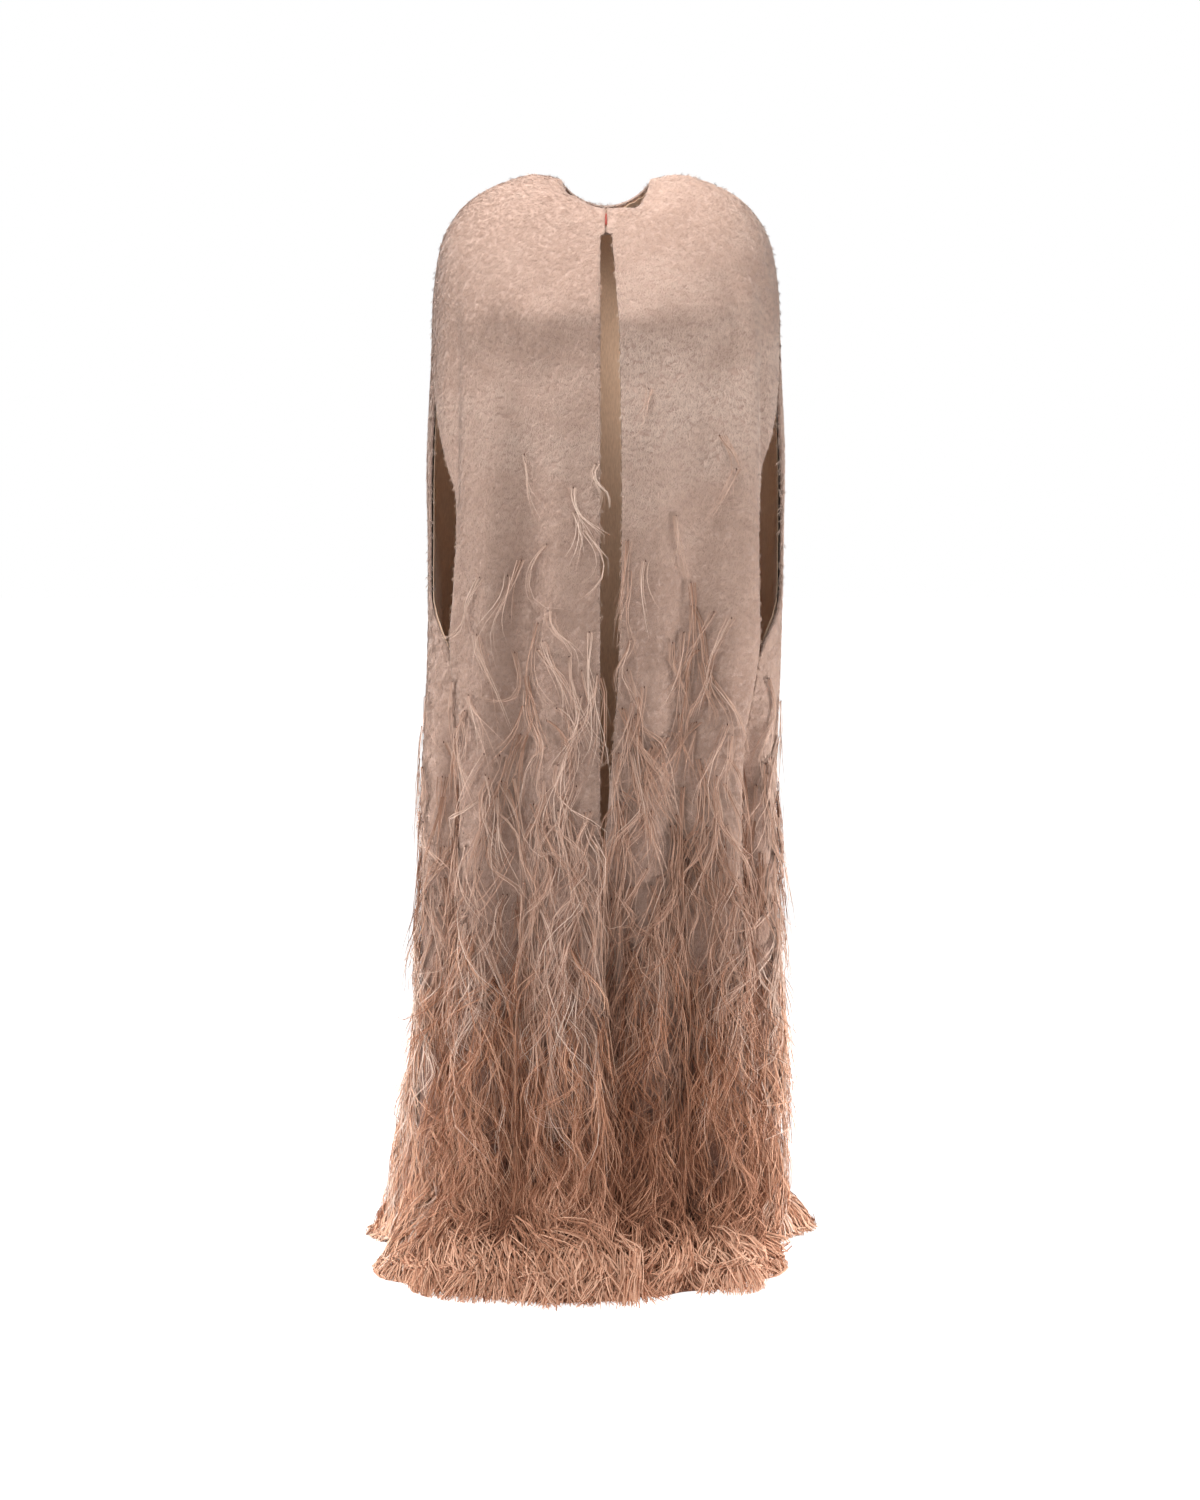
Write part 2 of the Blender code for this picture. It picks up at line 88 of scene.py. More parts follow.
# Soft ridges (depth over 0) and troughs (depth under 0) that run down the cloth to the floor
Fold = namedtuple("Fold", "place angle spread top_z full_z depth")
FOLDS = [
    Fold("right front edge roll", -5, 7, -0.30, -0.85, 0.007),
    Fold("right front trough", -24, 8, -0.20, -0.70, -0.017),
    Fold("right front ridge", -39, 8, -0.24, -0.80, 0.010),
    Fold("right seam trough", -58, 6, -0.60, -0.85, -0.027),
    Fold("right side ridge", -77, 9, -0.60, -0.85, 0.008),
    Fold("right side trough", -99, 8, -0.40, -0.85, -0.018),
    Fold("right back flare", -112, 15, -1.05, -1.38, 0.046),
    Fold("right back ridge", -118, 9, -0.30, -0.85, 0.014),
    Fold("right back trough", -139, 8, -0.28, -0.85, -0.024),
    Fold("right centre back ridge", -157, 9, -0.26, -0.85, 0.015),
    Fold("centre back trough", -176, 8, -0.30, -0.85, -0.020),
    Fold("left centre back ridge", 163, 9, -0.26, -0.85, 0.017),
    Fold("left back trough", 144, 8, -0.30, -0.85, -0.021),
    Fold("left back ridge", 123, 9, -0.34, -0.85, 0.012),
    Fold("left side trough", 102, 8, -0.45, -0.85, -0.020),
    Fold("left side ridge", 78, 9, -0.60, -0.85, 0.006),
    Fold("left seam trough", 58, 6, -0.60, -0.85, -0.027),
    Fold("left front ridge", 45, 8, -0.26, -0.80, 0.011),
    Fold("left front trough", 25, 8, -0.20, -0.75, -0.016),
    Fold("left front edge roll", 9, 6, -0.30, -0.80, 0.006),
    Fold("right front lobe", -20, 22, -1.385, -1.4845, 0.020),
    Fold("right outer lobe", -60, 15, -1.385, -1.4845, 0.028),
    Fold("right side tuck", -92, 14, -1.385, -1.4845, -0.020),
    Fold("back lobe", 178, 26, -1.385, -1.4845, 0.020),
    Fold("left back lobe", 122, 13, -1.385, -1.4845, 0.054),
    Fold("left side tuck", 86, 18, -1.385, -1.4845, -0.046),
    Fold("left outer tuck", 56, 14, -1.385, -1.4845, -0.014),
    Fold("left front lobe", 34, 12, -1.385, -1.4845, -0.014),
]

# Places where the neck edge sinks between shoulder and throat, so that the lining shows behind it
NeckDip = namedtuple("NeckDip", "place angle spread depth")
NECK_DIPS = [
    NeckDip("left of the throat", 48, 22, 0.016),
    NeckDip("right of the throat", -60, 13, 0.007),
]
NECK_DIP_END_ROW = SECTION_ROW["shoulder top"]

# Smaller creases that fade at both ends. lean is how far a crease wanders round the body over its length.
Crease = namedtuple("Crease", "place angle lean spread top_z bottom_z depth")
CREASES = [
    Crease("right chest drag", -33, 12, 6, -0.12, -0.46, -0.006),
    Crease("right upper trough", -20, -4, 5, -0.22, -0.86, -0.010),
    Crease("right upper ridge", -36, 1, 6, -0.22, -0.80, 0.007),
    Crease("right waist ridge", -10, -2, 4, -0.28, -0.74, 0.004),
    Crease("right slit drag", -49, 9, 5, -0.42, -0.92, -0.006),
    Crease("right thigh ridge", -32, 6, 5, -0.62, -1.18, 0.006),
    Crease("right edge dimple", -10, 4, 4, -0.55, -0.92, -0.004),
    Crease("left chest drag", 40, -15, 6, -0.10, -0.60, -0.011),
    Crease("left upper ridge", 47, 4, 6, -0.22, -0.82, 0.007),
    Crease("left waist ridge", 12, 3, 5, -0.26, -0.80, 0.006),
    Crease("left slit drag", 50, -8, 5, -0.45, -0.96, -0.006),
    Crease("left thigh ridge", 33, -6, 5, -0.60, -1.14, 0.006),
    Crease("left edge dimple", 12, -4, 4, -0.50, -0.90, -0.004),
    Crease("left shoulder blade drag", 138, 14, 7, -0.14, -0.58, -0.006),
    Crease("right shoulder blade drag", -140, -12, 7, -0.14, -0.62, -0.006),
    Crease("centre back ridge", 183, 6, 6, -0.22, -0.76, 0.006),
    Crease("left back crease", 154, -7, 5, -0.46, -1.06, -0.005),
    Crease("right back crease", -148, 8, 5, -0.42, -1.00, -0.005),
    Crease("left side crease", 112, 7, 6, -0.52, -1.12, 0.005),
    Crease("right side crease", -107, -7, 6, -0.48, -1.06, 0.005),
    Crease("right arm trough", -57, 3, 4, -0.10, -0.62, -0.008),
    Crease("right arm ridge", -48, 2, 5, -0.12, -0.66, 0.005),
    Crease("left arm trough", 44, -2, 4, -0.06, -0.44, -0.007),
    Crease("left arm ridge", 52, 0, 5, -0.08, -0.52, 0.006),
    Crease("left arm side trough", 62, -4, 4, -0.10, -0.60, -0.007),
    Crease("left elbow bulge", 96, 5, 9, -0.20, -0.56, 0.006),
    Crease("right elbow bulge", -95, -5, 9, -0.20, -0.60, 0.006),
]

# The roll of cloth along the bust and the hollow under it, across the fronts only. They sag unevenly.
# BUST_ENDS and BUST_FULL are cosines of the angle from the centre front.
BUST_ROLL_Z, BUST_ROLL_HEIGHT, BUST_ROLL = -0.192, 0.034, 0.005
UNDER_BUST_Z, UNDER_BUST_HEIGHT, UNDER_BUST = -0.262, 0.045, -0.006
BUST_SAG, BUST_SAG_DEG = 0.012, 26
BUST_ENDS, BUST_FULL = 0.45, 0.92


def column_slopes(values):
    """Slopes at the rows of a table column that keep the curve between two rows inside their values."""
    steps = np.diff(values)
    slopes = np.zeros(len(values))
    slopes[0], slopes[-1] = steps[0], steps[-1]
    before, after = steps[:-1], steps[1:]
    alike = before * after > 0
    slopes[1:-1][alike] = 2 * (before * after)[alike] / (before + after)[alike]
    return slopes


COLUMNS = {name: np.array([getattr(s, name) for s in SECTIONS], float) for name in Section._fields[1:]}
SLOPES = {name: column_slopes(values) for name, values in COLUMNS.items()}


def column(name, row):
    """A column of SECTIONS read at row numbers, which may fall between two rows."""
    values, slopes = COLUMNS[name], SLOPES[name]
    i = np.clip(np.floor(row).astype(int), 0, len(values) - 2)
    t = row - i
    start = (1 + 2 * t) * (1 - t) ** 2 * values[i] + t * (1 - t) ** 2 * slopes[i]
    end = t * t * (3 - 2 * t) * values[i + 1] + t * t * (t - 1) * slopes[i + 1]
    return start + end


def ramp(value, start, end):
    """0 at start and 1 at end, with a soft beginning and end."""
    t = np.clip((value - start) / (end - start), 0.0, 1.0)
    return t * t * (3 - 2 * t)


def signed_power(value, exponent):
    return np.copysign(np.abs(value) ** exponent, value)


def turn_between(a, b):
    """The angle from b to a in degrees, the short way round."""
    return (a - b + 180) % 360 - 180


def fold_depth(angle, z):
    """How far folds and creases carry the cloth outwards."""
    depth = np.zeros_like(z)
    for fold in FOLDS:
        off = turn_between(angle, fold.angle) / fold.spread
        depth += fold.depth * np.exp(-off * off) * ramp(z, fold.top_z, fold.full_z)
    for crease in CREASES:
        along = np.clip((z - crease.top_z) / (crease.bottom_z - crease.top_z), 0, 1)
        off = turn_between(angle, crease.angle + crease.lean * along) / crease.spread
        depth += crease.depth * np.exp(-off * off) * np.sin(np.pi * along) ** 2
    return depth


def surface(panel, angle, row):
    """Points on the cape's outer face: angles in degrees from the centre front, rows as in SECTIONS."""
    sine, cosine = np.sin(np.radians(angle)), np.cos(np.radians(angle))
    square, width = column("squareness", row), column("half_width", row)
    in_front = cosine > 0
    reach = np.where(in_front, column("front_reach", row), column("back_reach", row))
    side_z = column("side_z", row)
    end_z = np.where(in_front, column("front_z", row), column("back_z", row))
    z = side_z + (end_z - side_z) * np.abs(cosine) ** column("drop", row)
    for dip in NECK_DIPS:
        off = turn_between(angle, dip.angle) / dip.spread
        z = z - dip.depth * np.exp(-off * off) * ramp(row, NECK_DIP_END_ROW, 0)
    x = column("shift_x", row) + width * signed_power(sine, 2 / square)
    y = -reach * signed_power(cosine, 2 / square)

    out_x = signed_power(sine, 2 - 2 / square) / width
    out_y = -signed_power(cosine, 2 - 2 / square) / reach
    length = np.hypot(out_x, out_y)
    depth = fold_depth(angle, z)
    sag_z = z + BUST_SAG * np.sin(2 * np.pi * turn_between(angle, 0) / BUST_SAG_DEG)
    bust = BUST_ROLL * np.exp(-(((sag_z - BUST_ROLL_Z) / BUST_ROLL_HEIGHT) ** 2))
    bust += UNDER_BUST * np.exp(-(((sag_z - UNDER_BUST_Z) / UNDER_BUST_HEIGHT) ** 2))
    depth += bust * ramp(cosine, BUST_ENDS, BUST_FULL)
    x = x + depth * out_x / length
    y = y + depth * out_y / length
    if panel == "front_left":
        y = y + column("tuck", row) * np.exp(-((angle / TUCK_SPREAD_DEG) ** 2))
    return np.stack([x, y, z], axis=-1)


def unit(vectors):
    return vectors / np.maximum(np.linalg.norm(vectors, axis=-1, keepdims=True), 1e-12)


def cloth_axes(panel, angle, row):
    """How far a point moves down the cloth for one row and round the body for one degree."""
    turn_step, row_step = 0.25, 0.01
    upper = np.maximum(row - row_step, 0)
    lower = row + row_step
    down = (surface(panel, angle, lower) - surface(panel, angle, upper)) / (lower - upper)[..., None]
    around = surface(panel, angle + turn_step, row) - surface(panel, angle - turn_step, row)
    return down, around / (2 * turn_step)


def off_cloth(panel, angle, row, offset):
    """Points at an offset outwards from the cape's outer face, with the outward normals there."""
    down, around = cloth_axes(panel, angle, row)
    normal = unit(np.cross(down, around))
    return surface(panel, angle, row) + normal * np.asarray(offset)[..., None], normal


def edge_angle(edge_x, row):
    """The angle at which a ring passes a front edge's x."""
    from_middle = edge_x - column("shift_x", row)
    share = np.abs(from_middle) / column("half_width", row)
    return np.degrees(np.copysign(np.arcsin(share ** (column("squareness", row) / 2)), from_middle))


# The front edges meet at the throat and part all at once below the hook: rows, and the x of each edge there
THROAT_ROWS = (0.0, 0.95, 1.05, 1.30, 1.36, 2.0)
THROAT_EDGE_X = {
    "right": (-0.0015, -0.0018, -0.0004, -0.0004, -0.0075, -0.0080),
    "left": (0.0015, 0.0018, 0.0004, 0.0004, 0.0085, 0.0090),
}


def front_edge_x(side, row):
    """The x of a front's edge: THROAT_EDGE_X at the throat and SECTIONS below it."""
    at_throat = np.interp(row, THROAT_ROWS, THROAT_EDGE_X[side])
    return np.where(row < THROAT_ROWS[-1], at_throat, column(f"{side}_edge_x", row))


def panel_edges(panel, row):
    """The angles of a panel's two edges in one ring. The seams stand open by SEAM_GAP."""
    seam_half = np.degrees(SEAM_GAP / column("front_reach", row))
    front_seam = column("seam_deg", row) - column("gape_front", row) - seam_half
    back_seam = column("seam_deg", row) + column("gape_back", row) + seam_half
    if panel == "front_right":
        return -front_seam, edge_angle(front_edge_x("right", row), row)
    if panel == "front_left":
        return edge_angle(front_edge_x("left", row), row), front_seam
    return back_seam, 360 - back_seam


def rows_down(panel, first_row, last_row, step):
    """Row numbers that lie about a step apart down the panel's middle, and the length down to each."""
    fine = np.linspace(first_row, last_row, 1601)
    start, end = panel_edges(panel, fine)
    middle = surface(panel, (start + end) / 2, fine)
    run = np.concatenate([[0], np.cumsum(np.linalg.norm(np.diff(middle, axis=0), axis=1))])
    lengths = np.linspace(0, run[-1], max(round(run[-1] / step), 1) + 1)
    return np.interp(lengths, run, fine), lengths


def panel_grid(panel, rows, columns, set_back=0.0):
    """Angles and rows of a grid over a panel, set_back in from its two long edges."""
    start, end = panel_edges(panel, rows)
    down, around = cloth_axes(panel, (start + end) / 2, rows)
    inset = set_back / np.linalg.norm(around, axis=-1)
    shares = np.linspace(0, 1, columns + 1)
    angles = (start + inset)[:, None] + (end - start - 2 * inset)[:, None] * shares
    return angles, np.repeat(rows[:, None], columns + 1, axis=1)


def grid_faces(rows, columns):
    """Quads of a grid of points, first down and then across, so they face outwards."""
    j, i = np.mgrid[0 : rows - 1, 0 : columns - 1]
    corner = (j * columns + i).ravel()
    return np.stack([corner, corner + columns, corner + columns + 1, corner + 1], axis=-1)


def closed_shell(name, outer, inner):
    """A thin closed shell between an outer and an inner grid of points."""
    rows, columns = outer.shape[:2]
    count = rows * columns
    faces = grid_faces(rows, columns)
    index = np.arange(count).reshape(rows, columns)
    loop = np.concatenate([index[:-1, 0], index[-1, :-1], index[:0:-1, -1], index[0, :0:-1]])
    after = np.roll(loop, -1)
    rim = np.stack([after, loop, loop + count, after + count], axis=-1)
    faces = np.concatenate([faces, faces[:, ::-1] + count, rim])
    points = np.concatenate([outer.reshape(-1, 3), inner.reshape(-1, 3)])
    mesh = bpy.data.meshes.new(name)
    mesh.from_pydata(points.tolist(), [], faces.tolist())
    mesh.shade_smooth()
    return mesh


def new_piece(name, mesh, material):
    mesh.materials.clear()
    mesh.materials.append(material)
    piece = bpy.data.objects.new(name, mesh)
    bpy.context.scene.collection.objects.link(piece)
    return piece


def add_node(material, kind, **values):
    """A shader node with its inputs set: a name with a space is written with an underscore."""
    node = material.node_tree.nodes.new(kind)
    for name, value in values.items():
        node.inputs[name.replace("_", " ")].default_value = value
    return node


def new_material(name, roughness, sheen=0.0, sheen_roughness=0.5, metallic=0.0):
    material = bpy.data.materials.new(name)
    material.use_nodes = True
    shader = material.node_tree.nodes["Principled BSDF"]
    shader.inputs["Roughness"].default_value = roughness
    shader.inputs["Metallic"].default_value = metallic
    shader.inputs["Sheen Weight"].default_value = sheen
    shader.inputs["Sheen Roughness"].default_value = sheen_roughness
    return material, shader, material.node_tree.links


def colour_ramp(material, stops):
    """A ramp of linear colours at places from 0 to 1."""
    ramp_node = material.node_tree.nodes.new("ShaderNodeValToRGB")
    elements = ramp_node.color_ramp.elements
    while len(elements) < len(stops):
        elements.new(0.5)
    for element, (place, colour) in zip(elements, stops):
        element.position = place
        element.color = (*colour, 1)
    return ramp_node


def link_product(material, colour, shade, target):
    """Links two colours, multiplied, to an input of the material's shader."""
    product = material.node_tree.nodes.new("ShaderNodeMix")
    product.data_type, product.blend_type = "RGBA", "MULTIPLY"
    product.inputs["Factor"].default_value = 1.0
    links = material.node_tree.links
    links.new(colour, product.inputs[6])
    links.new(shade, product.inputs[7])
    links.new(product.outputs[2], target)


UNDERCOAT_DARK = (0.350, 0.228, 0.180)
UNDERCOAT_LIGHT = (0.530, 0.368, 0.298)
UNDERCOAT_CLUMPS = 190.0
# The undercoat is painted with shade behind the hanging feathers, darkest there, and is as light as the
# feathers where it lies on the floor
UNDERCOAT_PAINTED_SHADE = (0.46, 0.33, 0.27)
UNDERCOAT_HEM_SHADE = (0.92, 0.68, 0.56)
UNDERCOAT_FADE_FROM_Z, UNDERCOAT_FADE_TO_Z = -0.85, -1.4845
UNDERCOAT_PAINTED_SHADE_FADES = [
    (0.00, (1, 1, 1)),
    (0.71, UNDERCOAT_PAINTED_SHADE),
    (0.88, UNDERCOAT_PAINTED_SHADE),
    (0.97, UNDERCOAT_HEM_SHADE),
]

undercoat, shader, links = new_material("fur_undercoat", 0.95, sheen=0.2)
place = undercoat.node_tree.nodes.new("ShaderNodeTexCoord")
clumps = add_node(undercoat, "ShaderNodeTexNoise", Scale=UNDERCOAT_CLUMPS, Detail=3.0, Roughness=0.6)
clump_colour = colour_ramp(undercoat, [(0.30, UNDERCOAT_DARK), (0.70, UNDERCOAT_LIGHT)])
clump_bump = add_node(undercoat, "ShaderNodeBump", Strength=0.7, Distance=0.002)
links.new(place.outputs["Object"], clumps.inputs["Vector"])
links.new(clumps.outputs["Fac"], clump_colour.inputs["Fac"])
# A ramp by height paints shade on the undercoat behind the hanging feathers
height_axes = undercoat.node_tree.nodes.new("ShaderNodeSeparateXYZ")
height = add_node(
    undercoat, "ShaderNodeMapRange", From_Min=UNDERCOAT_FADE_FROM_Z, From_Max=UNDERCOAT_FADE_TO_Z
)
painted_height_shade = colour_ramp(undercoat, UNDERCOAT_PAINTED_SHADE_FADES)
links.new(place.outputs["Object"], height_axes.inputs["Vector"])
links.new(height_axes.outputs["Z"], height.inputs["Value"])
links.new(height.outputs["Result"], painted_height_shade.inputs["Fac"])
clump_shade, painted_shade = clump_colour.outputs["Color"], painted_height_shade.outputs["Color"]
link_product(undercoat, clump_shade, painted_shade, shader.inputs["Base Color"])
links.new(clumps.outputs["Fac"], clump_bump.inputs["Height"])
links.new(clump_bump.outputs["Normal"], shader.inputs["Normal"])

fur_panels = {}
panel_points = {}
for panel in PANELS:
    rows, lengths = rows_down(panel, 0, SECTION_ROW["hem"], PANEL_STEP_DOWN[panel])
    if panel != "back":
        rows = np.union1d(rows, THROAT_ROWS)
    angles, grid_rows = panel_grid(panel, rows, PANEL_COLUMNS[panel])
    outer, normals = off_cloth(panel, angles, grid_rows, np.zeros_like(angles))
    inner = outer - normals * FUR_WALL
    panel_points[panel] = (angles, grid_rows, outer, inner)
    fur_panels[panel] = new_piece(f"fur_{panel}", closed_shell(f"fur_{panel}", outer, inner), undercoat)

# Pile of the fur: short dense hairs, sheared and brushed downwards, that stand in small clumps over each
# panel and round its turned edges. A clump is a few flat tapering hairs, set over the panel by a node tree.
# Low down the pile thins out, where the feathers cover it.
HAIR_LENGTH = 0.0052
HAIR_HALF_WIDTH = 0.00055
# How far a hair's tip lies outwards from its clump, down the cloth and off the cloth, as shares of its length
HAIR_OUT, HAIR_DOWN, HAIR_UP = 0.30, 0.80, 0.27
HAIRS_IN_A_CLUMP = 8
CLUMP_SPREAD = 0.0028
HAIR_SHADED_AS_CLOTH = 0.94
CLUMPS_PER_M2 = {"front_right": 48000, "front_left": 48000, "back": 25000}
CLUMP_SIZE = {"front_right": (0.75, 1.15), "front_left": (0.75, 1.15), "back": (0.95, 1.45)}
CLUMP_TURN = 0.8
NAP_WANDER, NAP_WANDER_SIZE = 0.25, 0.06
PILE_THIN_FROM_Z, PILE_THIN_TO_Z, PILE_LOW_SHARE = -0.95, -1.20, 0.10
PILE_END_Z = -1.46
PILE_SEED = {"front_right": 3, "front_left": 5, "back": 8}
NAP_SEED, PATCH_SEED, FLECK_SEED = 11, 21, 22
# How light the pile is at the shoulders, how that changes with height, and how far large patches and small
# flecks differ from it
PILE_TONE, PILE_TONE_PER_M = 0.66, 0.16
PATCH_TONE, PATCH_SIZE = 0.06, 0.10
FLECK_TONE, FLECK_SIZE = 0.08, 0.02
# Painted light makes the pile lighter below the bust, most on the left front, away from the light from the
# left; painted shade makes it darker again from the hip down
PAINTED_WAIST_LIGHT = {"front_right": 0.15, "front_left": 0.34, "back": 0.12}
WAIST_Z = {"front_right": -0.36, "front_left": -0.31, "back": -0.36}
WAIST_HEIGHT = 0.13
PAINTED_HIP_SHADE = {"front_right": -0.07, "front_left": -0.13, "back": -0.05}
HIP_FROM_Z, HIP_TO_Z = -0.46, -0.72
# No pile hides the hook between the front edges at the throat
THROAT_BARE_WIDTH, THROAT_BARE_FROM_ROW, THROAT_BARE_TO_ROW = 0.005, 0.3, 0.97
# The left front's turned edge is worn smooth where it runs in under the right front
BARE_EDGE_WIDTH = 0.024
BARE_EDGE_FROM_Z, BARE_EDGE_TO_Z, BARE_EDGE_END_Z = -0.72, -0.92, -1.00


def hair_clump():
    """One clump of hairs: Z is off the cloth and Y is the way the pile is brushed."""
    points, faces, along = [], [], []
    for hair in range(HAIRS_IN_A_CLUMP):
        turn = 2 * math.pi * (hair + 0.35) / HAIRS_IN_A_CLUMP
        root = Vector((math.cos(turn), math.sin(turn), 0)) * CLUMP_SPREAD * (1 - 0.4 * (hair % 2))
        length = HAIR_LENGTH * (1 - 0.13 * (hair % 3))
        flat = Vector((math.cos(turn * 0.5), math.sin(turn * 0.5) * 0.5, 0)).normalized() * HAIR_HALF_WIDTH
        tip = root + Vector((HAIR_OUT * math.cos(turn), HAIR_DOWN, HAIR_UP)) * length
        if flat.cross(tip - root).z < 0:
            flat = -flat
        faces.append((len(points), len(points) + 1, len(points) + 2))
        points += [root - flat, root + flat, tip]
        along += [0.0, 0.0, 1.0]
    mesh = bpy.data.meshes.new("hair_clump")
    mesh.from_pydata(points, [], faces)
    mesh.attributes.new("along", "FLOAT", "POINT").data.foreach_set("value", along)
    return bpy.data.objects.new("hair_clump", mesh)


def pile_tree():
    """Node tree that sets clumps of hair over a mesh: denser where pile_share is high, brushed along nap."""
    tree = bpy.data.node_groups.new("fur_pile", "GeometryNodeTree")
    face = tree.interface
    face.new_socket("Cloth", in_out="INPUT", socket_type="NodeSocketGeometry")
    for name, kind in [
        ("Clump", "NodeSocketObject"),
        ("Clumps per m2", "NodeSocketFloat"),
        ("Smallest", "NodeSocketFloat"),
        ("Largest", "NodeSocketFloat"),
        ("Turn", "NodeSocketFloat"),
        ("Seed", "NodeSocketInt"),
        ("Material", "NodeSocketMaterial"),
    ]:
        face.new_socket(name, in_out="INPUT", socket_type=kind)
    face.new_socket("Pile", in_out="OUTPUT", socket_type="NodeSocketGeometry")
    nodes, links = tree.nodes, tree.links
    given, result = nodes.new("NodeGroupInput"), nodes.new("NodeGroupOutput")

    def named(name, kind):
        node = nodes.new("GeometryNodeInputNamedAttribute")
        node.data_type = kind
        node.inputs["Name"].default_value = name
        return node.outputs["Attribute"]

    density = nodes.new("ShaderNodeMath")
    density.operation = "MULTIPLY"
    links.new(given.outputs["Clumps per m2"], density.inputs[0])
    links.new(named("pile_share", "FLOAT"), density.inputs[1])
    scatter = nodes.new("GeometryNodeDistributePointsOnFaces")
    links.new(given.outputs["Cloth"], scatter.inputs["Mesh"])
    links.new(density.outputs[0], scatter.inputs["Density"])
    links.new(given.outputs["Seed"], scatter.inputs["Seed"])

    upright = nodes.new("FunctionNodeAlignRotationToVector")
    upright.axis = "Z"
    links.new(scatter.outputs["Normal"], upright.inputs["Vector"])
    brushed = nodes.new("FunctionNodeAlignRotationToVector")
    brushed.axis, brushed.pivot_axis = "Y", "Z"
    links.new(upright.outputs["Rotation"], brushed.inputs["Rotation"])
    links.new(named("nap", "FLOAT_VECTOR"), brushed.inputs["Vector"])

    other_way = nodes.new("ShaderNodeMath")
    other_way.operation = "MULTIPLY"
    other_way.inputs[1].default_value = -1.0
    links.new(given.outputs["Turn"], other_way.inputs[0])
    ruffle = nodes.new("FunctionNodeRandomValue")
    ruffle.data_type = "FLOAT"
    links.new(other_way.outputs[0], ruffle.inputs[2])
    links.new(given.outputs["Turn"], ruffle.inputs[3])
    links.new(given.outputs["Seed"], ruffle.inputs["Seed"])
    about_root = nodes.new("FunctionNodeAxisAngleToRotation")
    about_root.inputs["Axis"].default_value = (0, 0, 1)
    links.new(ruffle.outputs[1], about_root.inputs["Angle"])
    ruffled = nodes.new("FunctionNodeRotateRotation")
    ruffled.rotation_space = "LOCAL"
    links.new(brushed.outputs["Rotation"], ruffled.inputs["Rotation"])
    links.new(about_root.outputs["Rotation"], ruffled.inputs["Rotate By"])

    clump = nodes.new("GeometryNodeObjectInfo")
    links.new(given.outputs["Clump"], clump.inputs["Object"])
    size = nodes.new("FunctionNodeRandomValue")
    size.data_type = "FLOAT"
    links.new(given.outputs["Smallest"], size.inputs[2])
    links.new(given.outputs["Largest"], size.inputs[3])
    links.new(given.outputs["Seed"], size.inputs["Seed"])
    spread = nodes.new("GeometryNodeInstanceOnPoints")
    links.new(scatter.outputs["Points"], spread.inputs["Points"])
    links.new(clump.outputs["Geometry"], spread.inputs["Instance"])
    links.new(ruffled.outputs["Rotation"], spread.inputs["Rotation"])
    links.new(size.outputs[1], spread.inputs["Scale"])

    real = nodes.new("GeometryNodeRealizeInstances")
    links.new(spread.outputs["Instances"], real.inputs["Geometry"])
    shade = nodes.new("ShaderNodeCombineXYZ")
    links.new(named("tone", "FLOAT"), shade.inputs["X"])
    links.new(named("along", "FLOAT"), shade.inputs["Y"])
    chart = nodes.new("GeometryNodeStoreNamedAttribute")
    chart.data_type, chart.domain = "FLOAT2", "CORNER"
    chart.inputs["Name"].default_value = "OFBake"
    links.new(real.outputs["Geometry"], chart.inputs["Geometry"])
    links.new(shade.outputs[0], chart.inputs["Value"])
    finish = nodes.new("GeometryNodeSetMaterial")
    links.new(chart.outputs["Geometry"], finish.inputs["Geometry"])
    links.new(given.outputs["Material"], finish.inputs["Material"])
    links.new(finish.outputs["Geometry"], result.inputs["Pile"])
    return tree


def made_by_nodes(name, mesh, tree, inputs):
    """The plain mesh that a node tree makes of a mesh."""
    carrier = bpy.data.objects.new(name, mesh)
    bpy.context.scene.collection.objects.link(carrier)
    modifier = carrier.modifiers.new("nodes", "NODES")
    modifier.node_group = tree
    sockets = {s.name: s.identifier for s in tree.interface.items_tree if s.in_out == "INPUT"}
    for label, value in inputs.items():
        modifier[sockets[label]] = value
    evaluated = carrier.evaluated_get(bpy.context.evaluated_depsgraph_get())
    made = bpy.data.meshes.new_from_object(evaluated)
    bpy.data.objects.remove(carrier)
    return made


def bordered(grid):
    """A grid of points or vectors with its outermost ones repeated once all round."""
    return np.pad(grid, ((1, 1), (1, 1), (0, 0)), mode="edge")


def rolled_edge(outer, inner):
    """An outer grid with a border of inner points, so that the edges are turned in."""
    wide, deep = bordered(outer), bordered(inner)
    wide[0], wide[-1] = deep[0], deep[-1]
    wide[:, 0], wide[:, -1] = deep[:, 0], deep[:, -1]
    return wide


def shade_like_cloth(mesh, share):
    """Turns the shading normals of a mesh towards those of the cloth it stands on."""
    cloth = np.empty(len(mesh.vertices) * 3)
    mesh.attributes["cloth_normal"].data.foreach_get("vector", cloth)
    own = np.empty(len(mesh.vertices) * 3)
    mesh.vertex_normals.foreach_get("vector", own)
    mixed = unit(cloth.reshape(-1, 3) * share + own.reshape(-1, 3) * (1 - share))
    mesh.normals_split_custom_set_from_vertices(mixed.tolist())


def strand_material(name, roughness, sheen, sheen_roughness, specular, shades, shades_along):
    """A material for hairs or strands. Their chart holds a strand's shade and the place along the strand."""
    material, shader, links = new_material(name, roughness, sheen, sheen_roughness)
    shader.inputs["Specular IOR Level"].default_value = specular
    chart = material.node_tree.nodes.new("ShaderNodeUVMap")
    chart.uv_map = "OFBake"
    chart_axes = material.node_tree.nodes.new("ShaderNodeSeparateXYZ")
    colour = colour_ramp(material, shades)
    along = colour_ramp(material, shades_along)
    links.new(chart.outputs["UV"], chart_axes.inputs["Vector"])
    links.new(chart_axes.outputs["X"], colour.inputs["Fac"])
    links.new(chart_axes.outputs["Y"], along.inputs["Fac"])
    link_product(material, colour.outputs["Color"], along.outputs["Color"], shader.inputs["Base Color"])
    return material


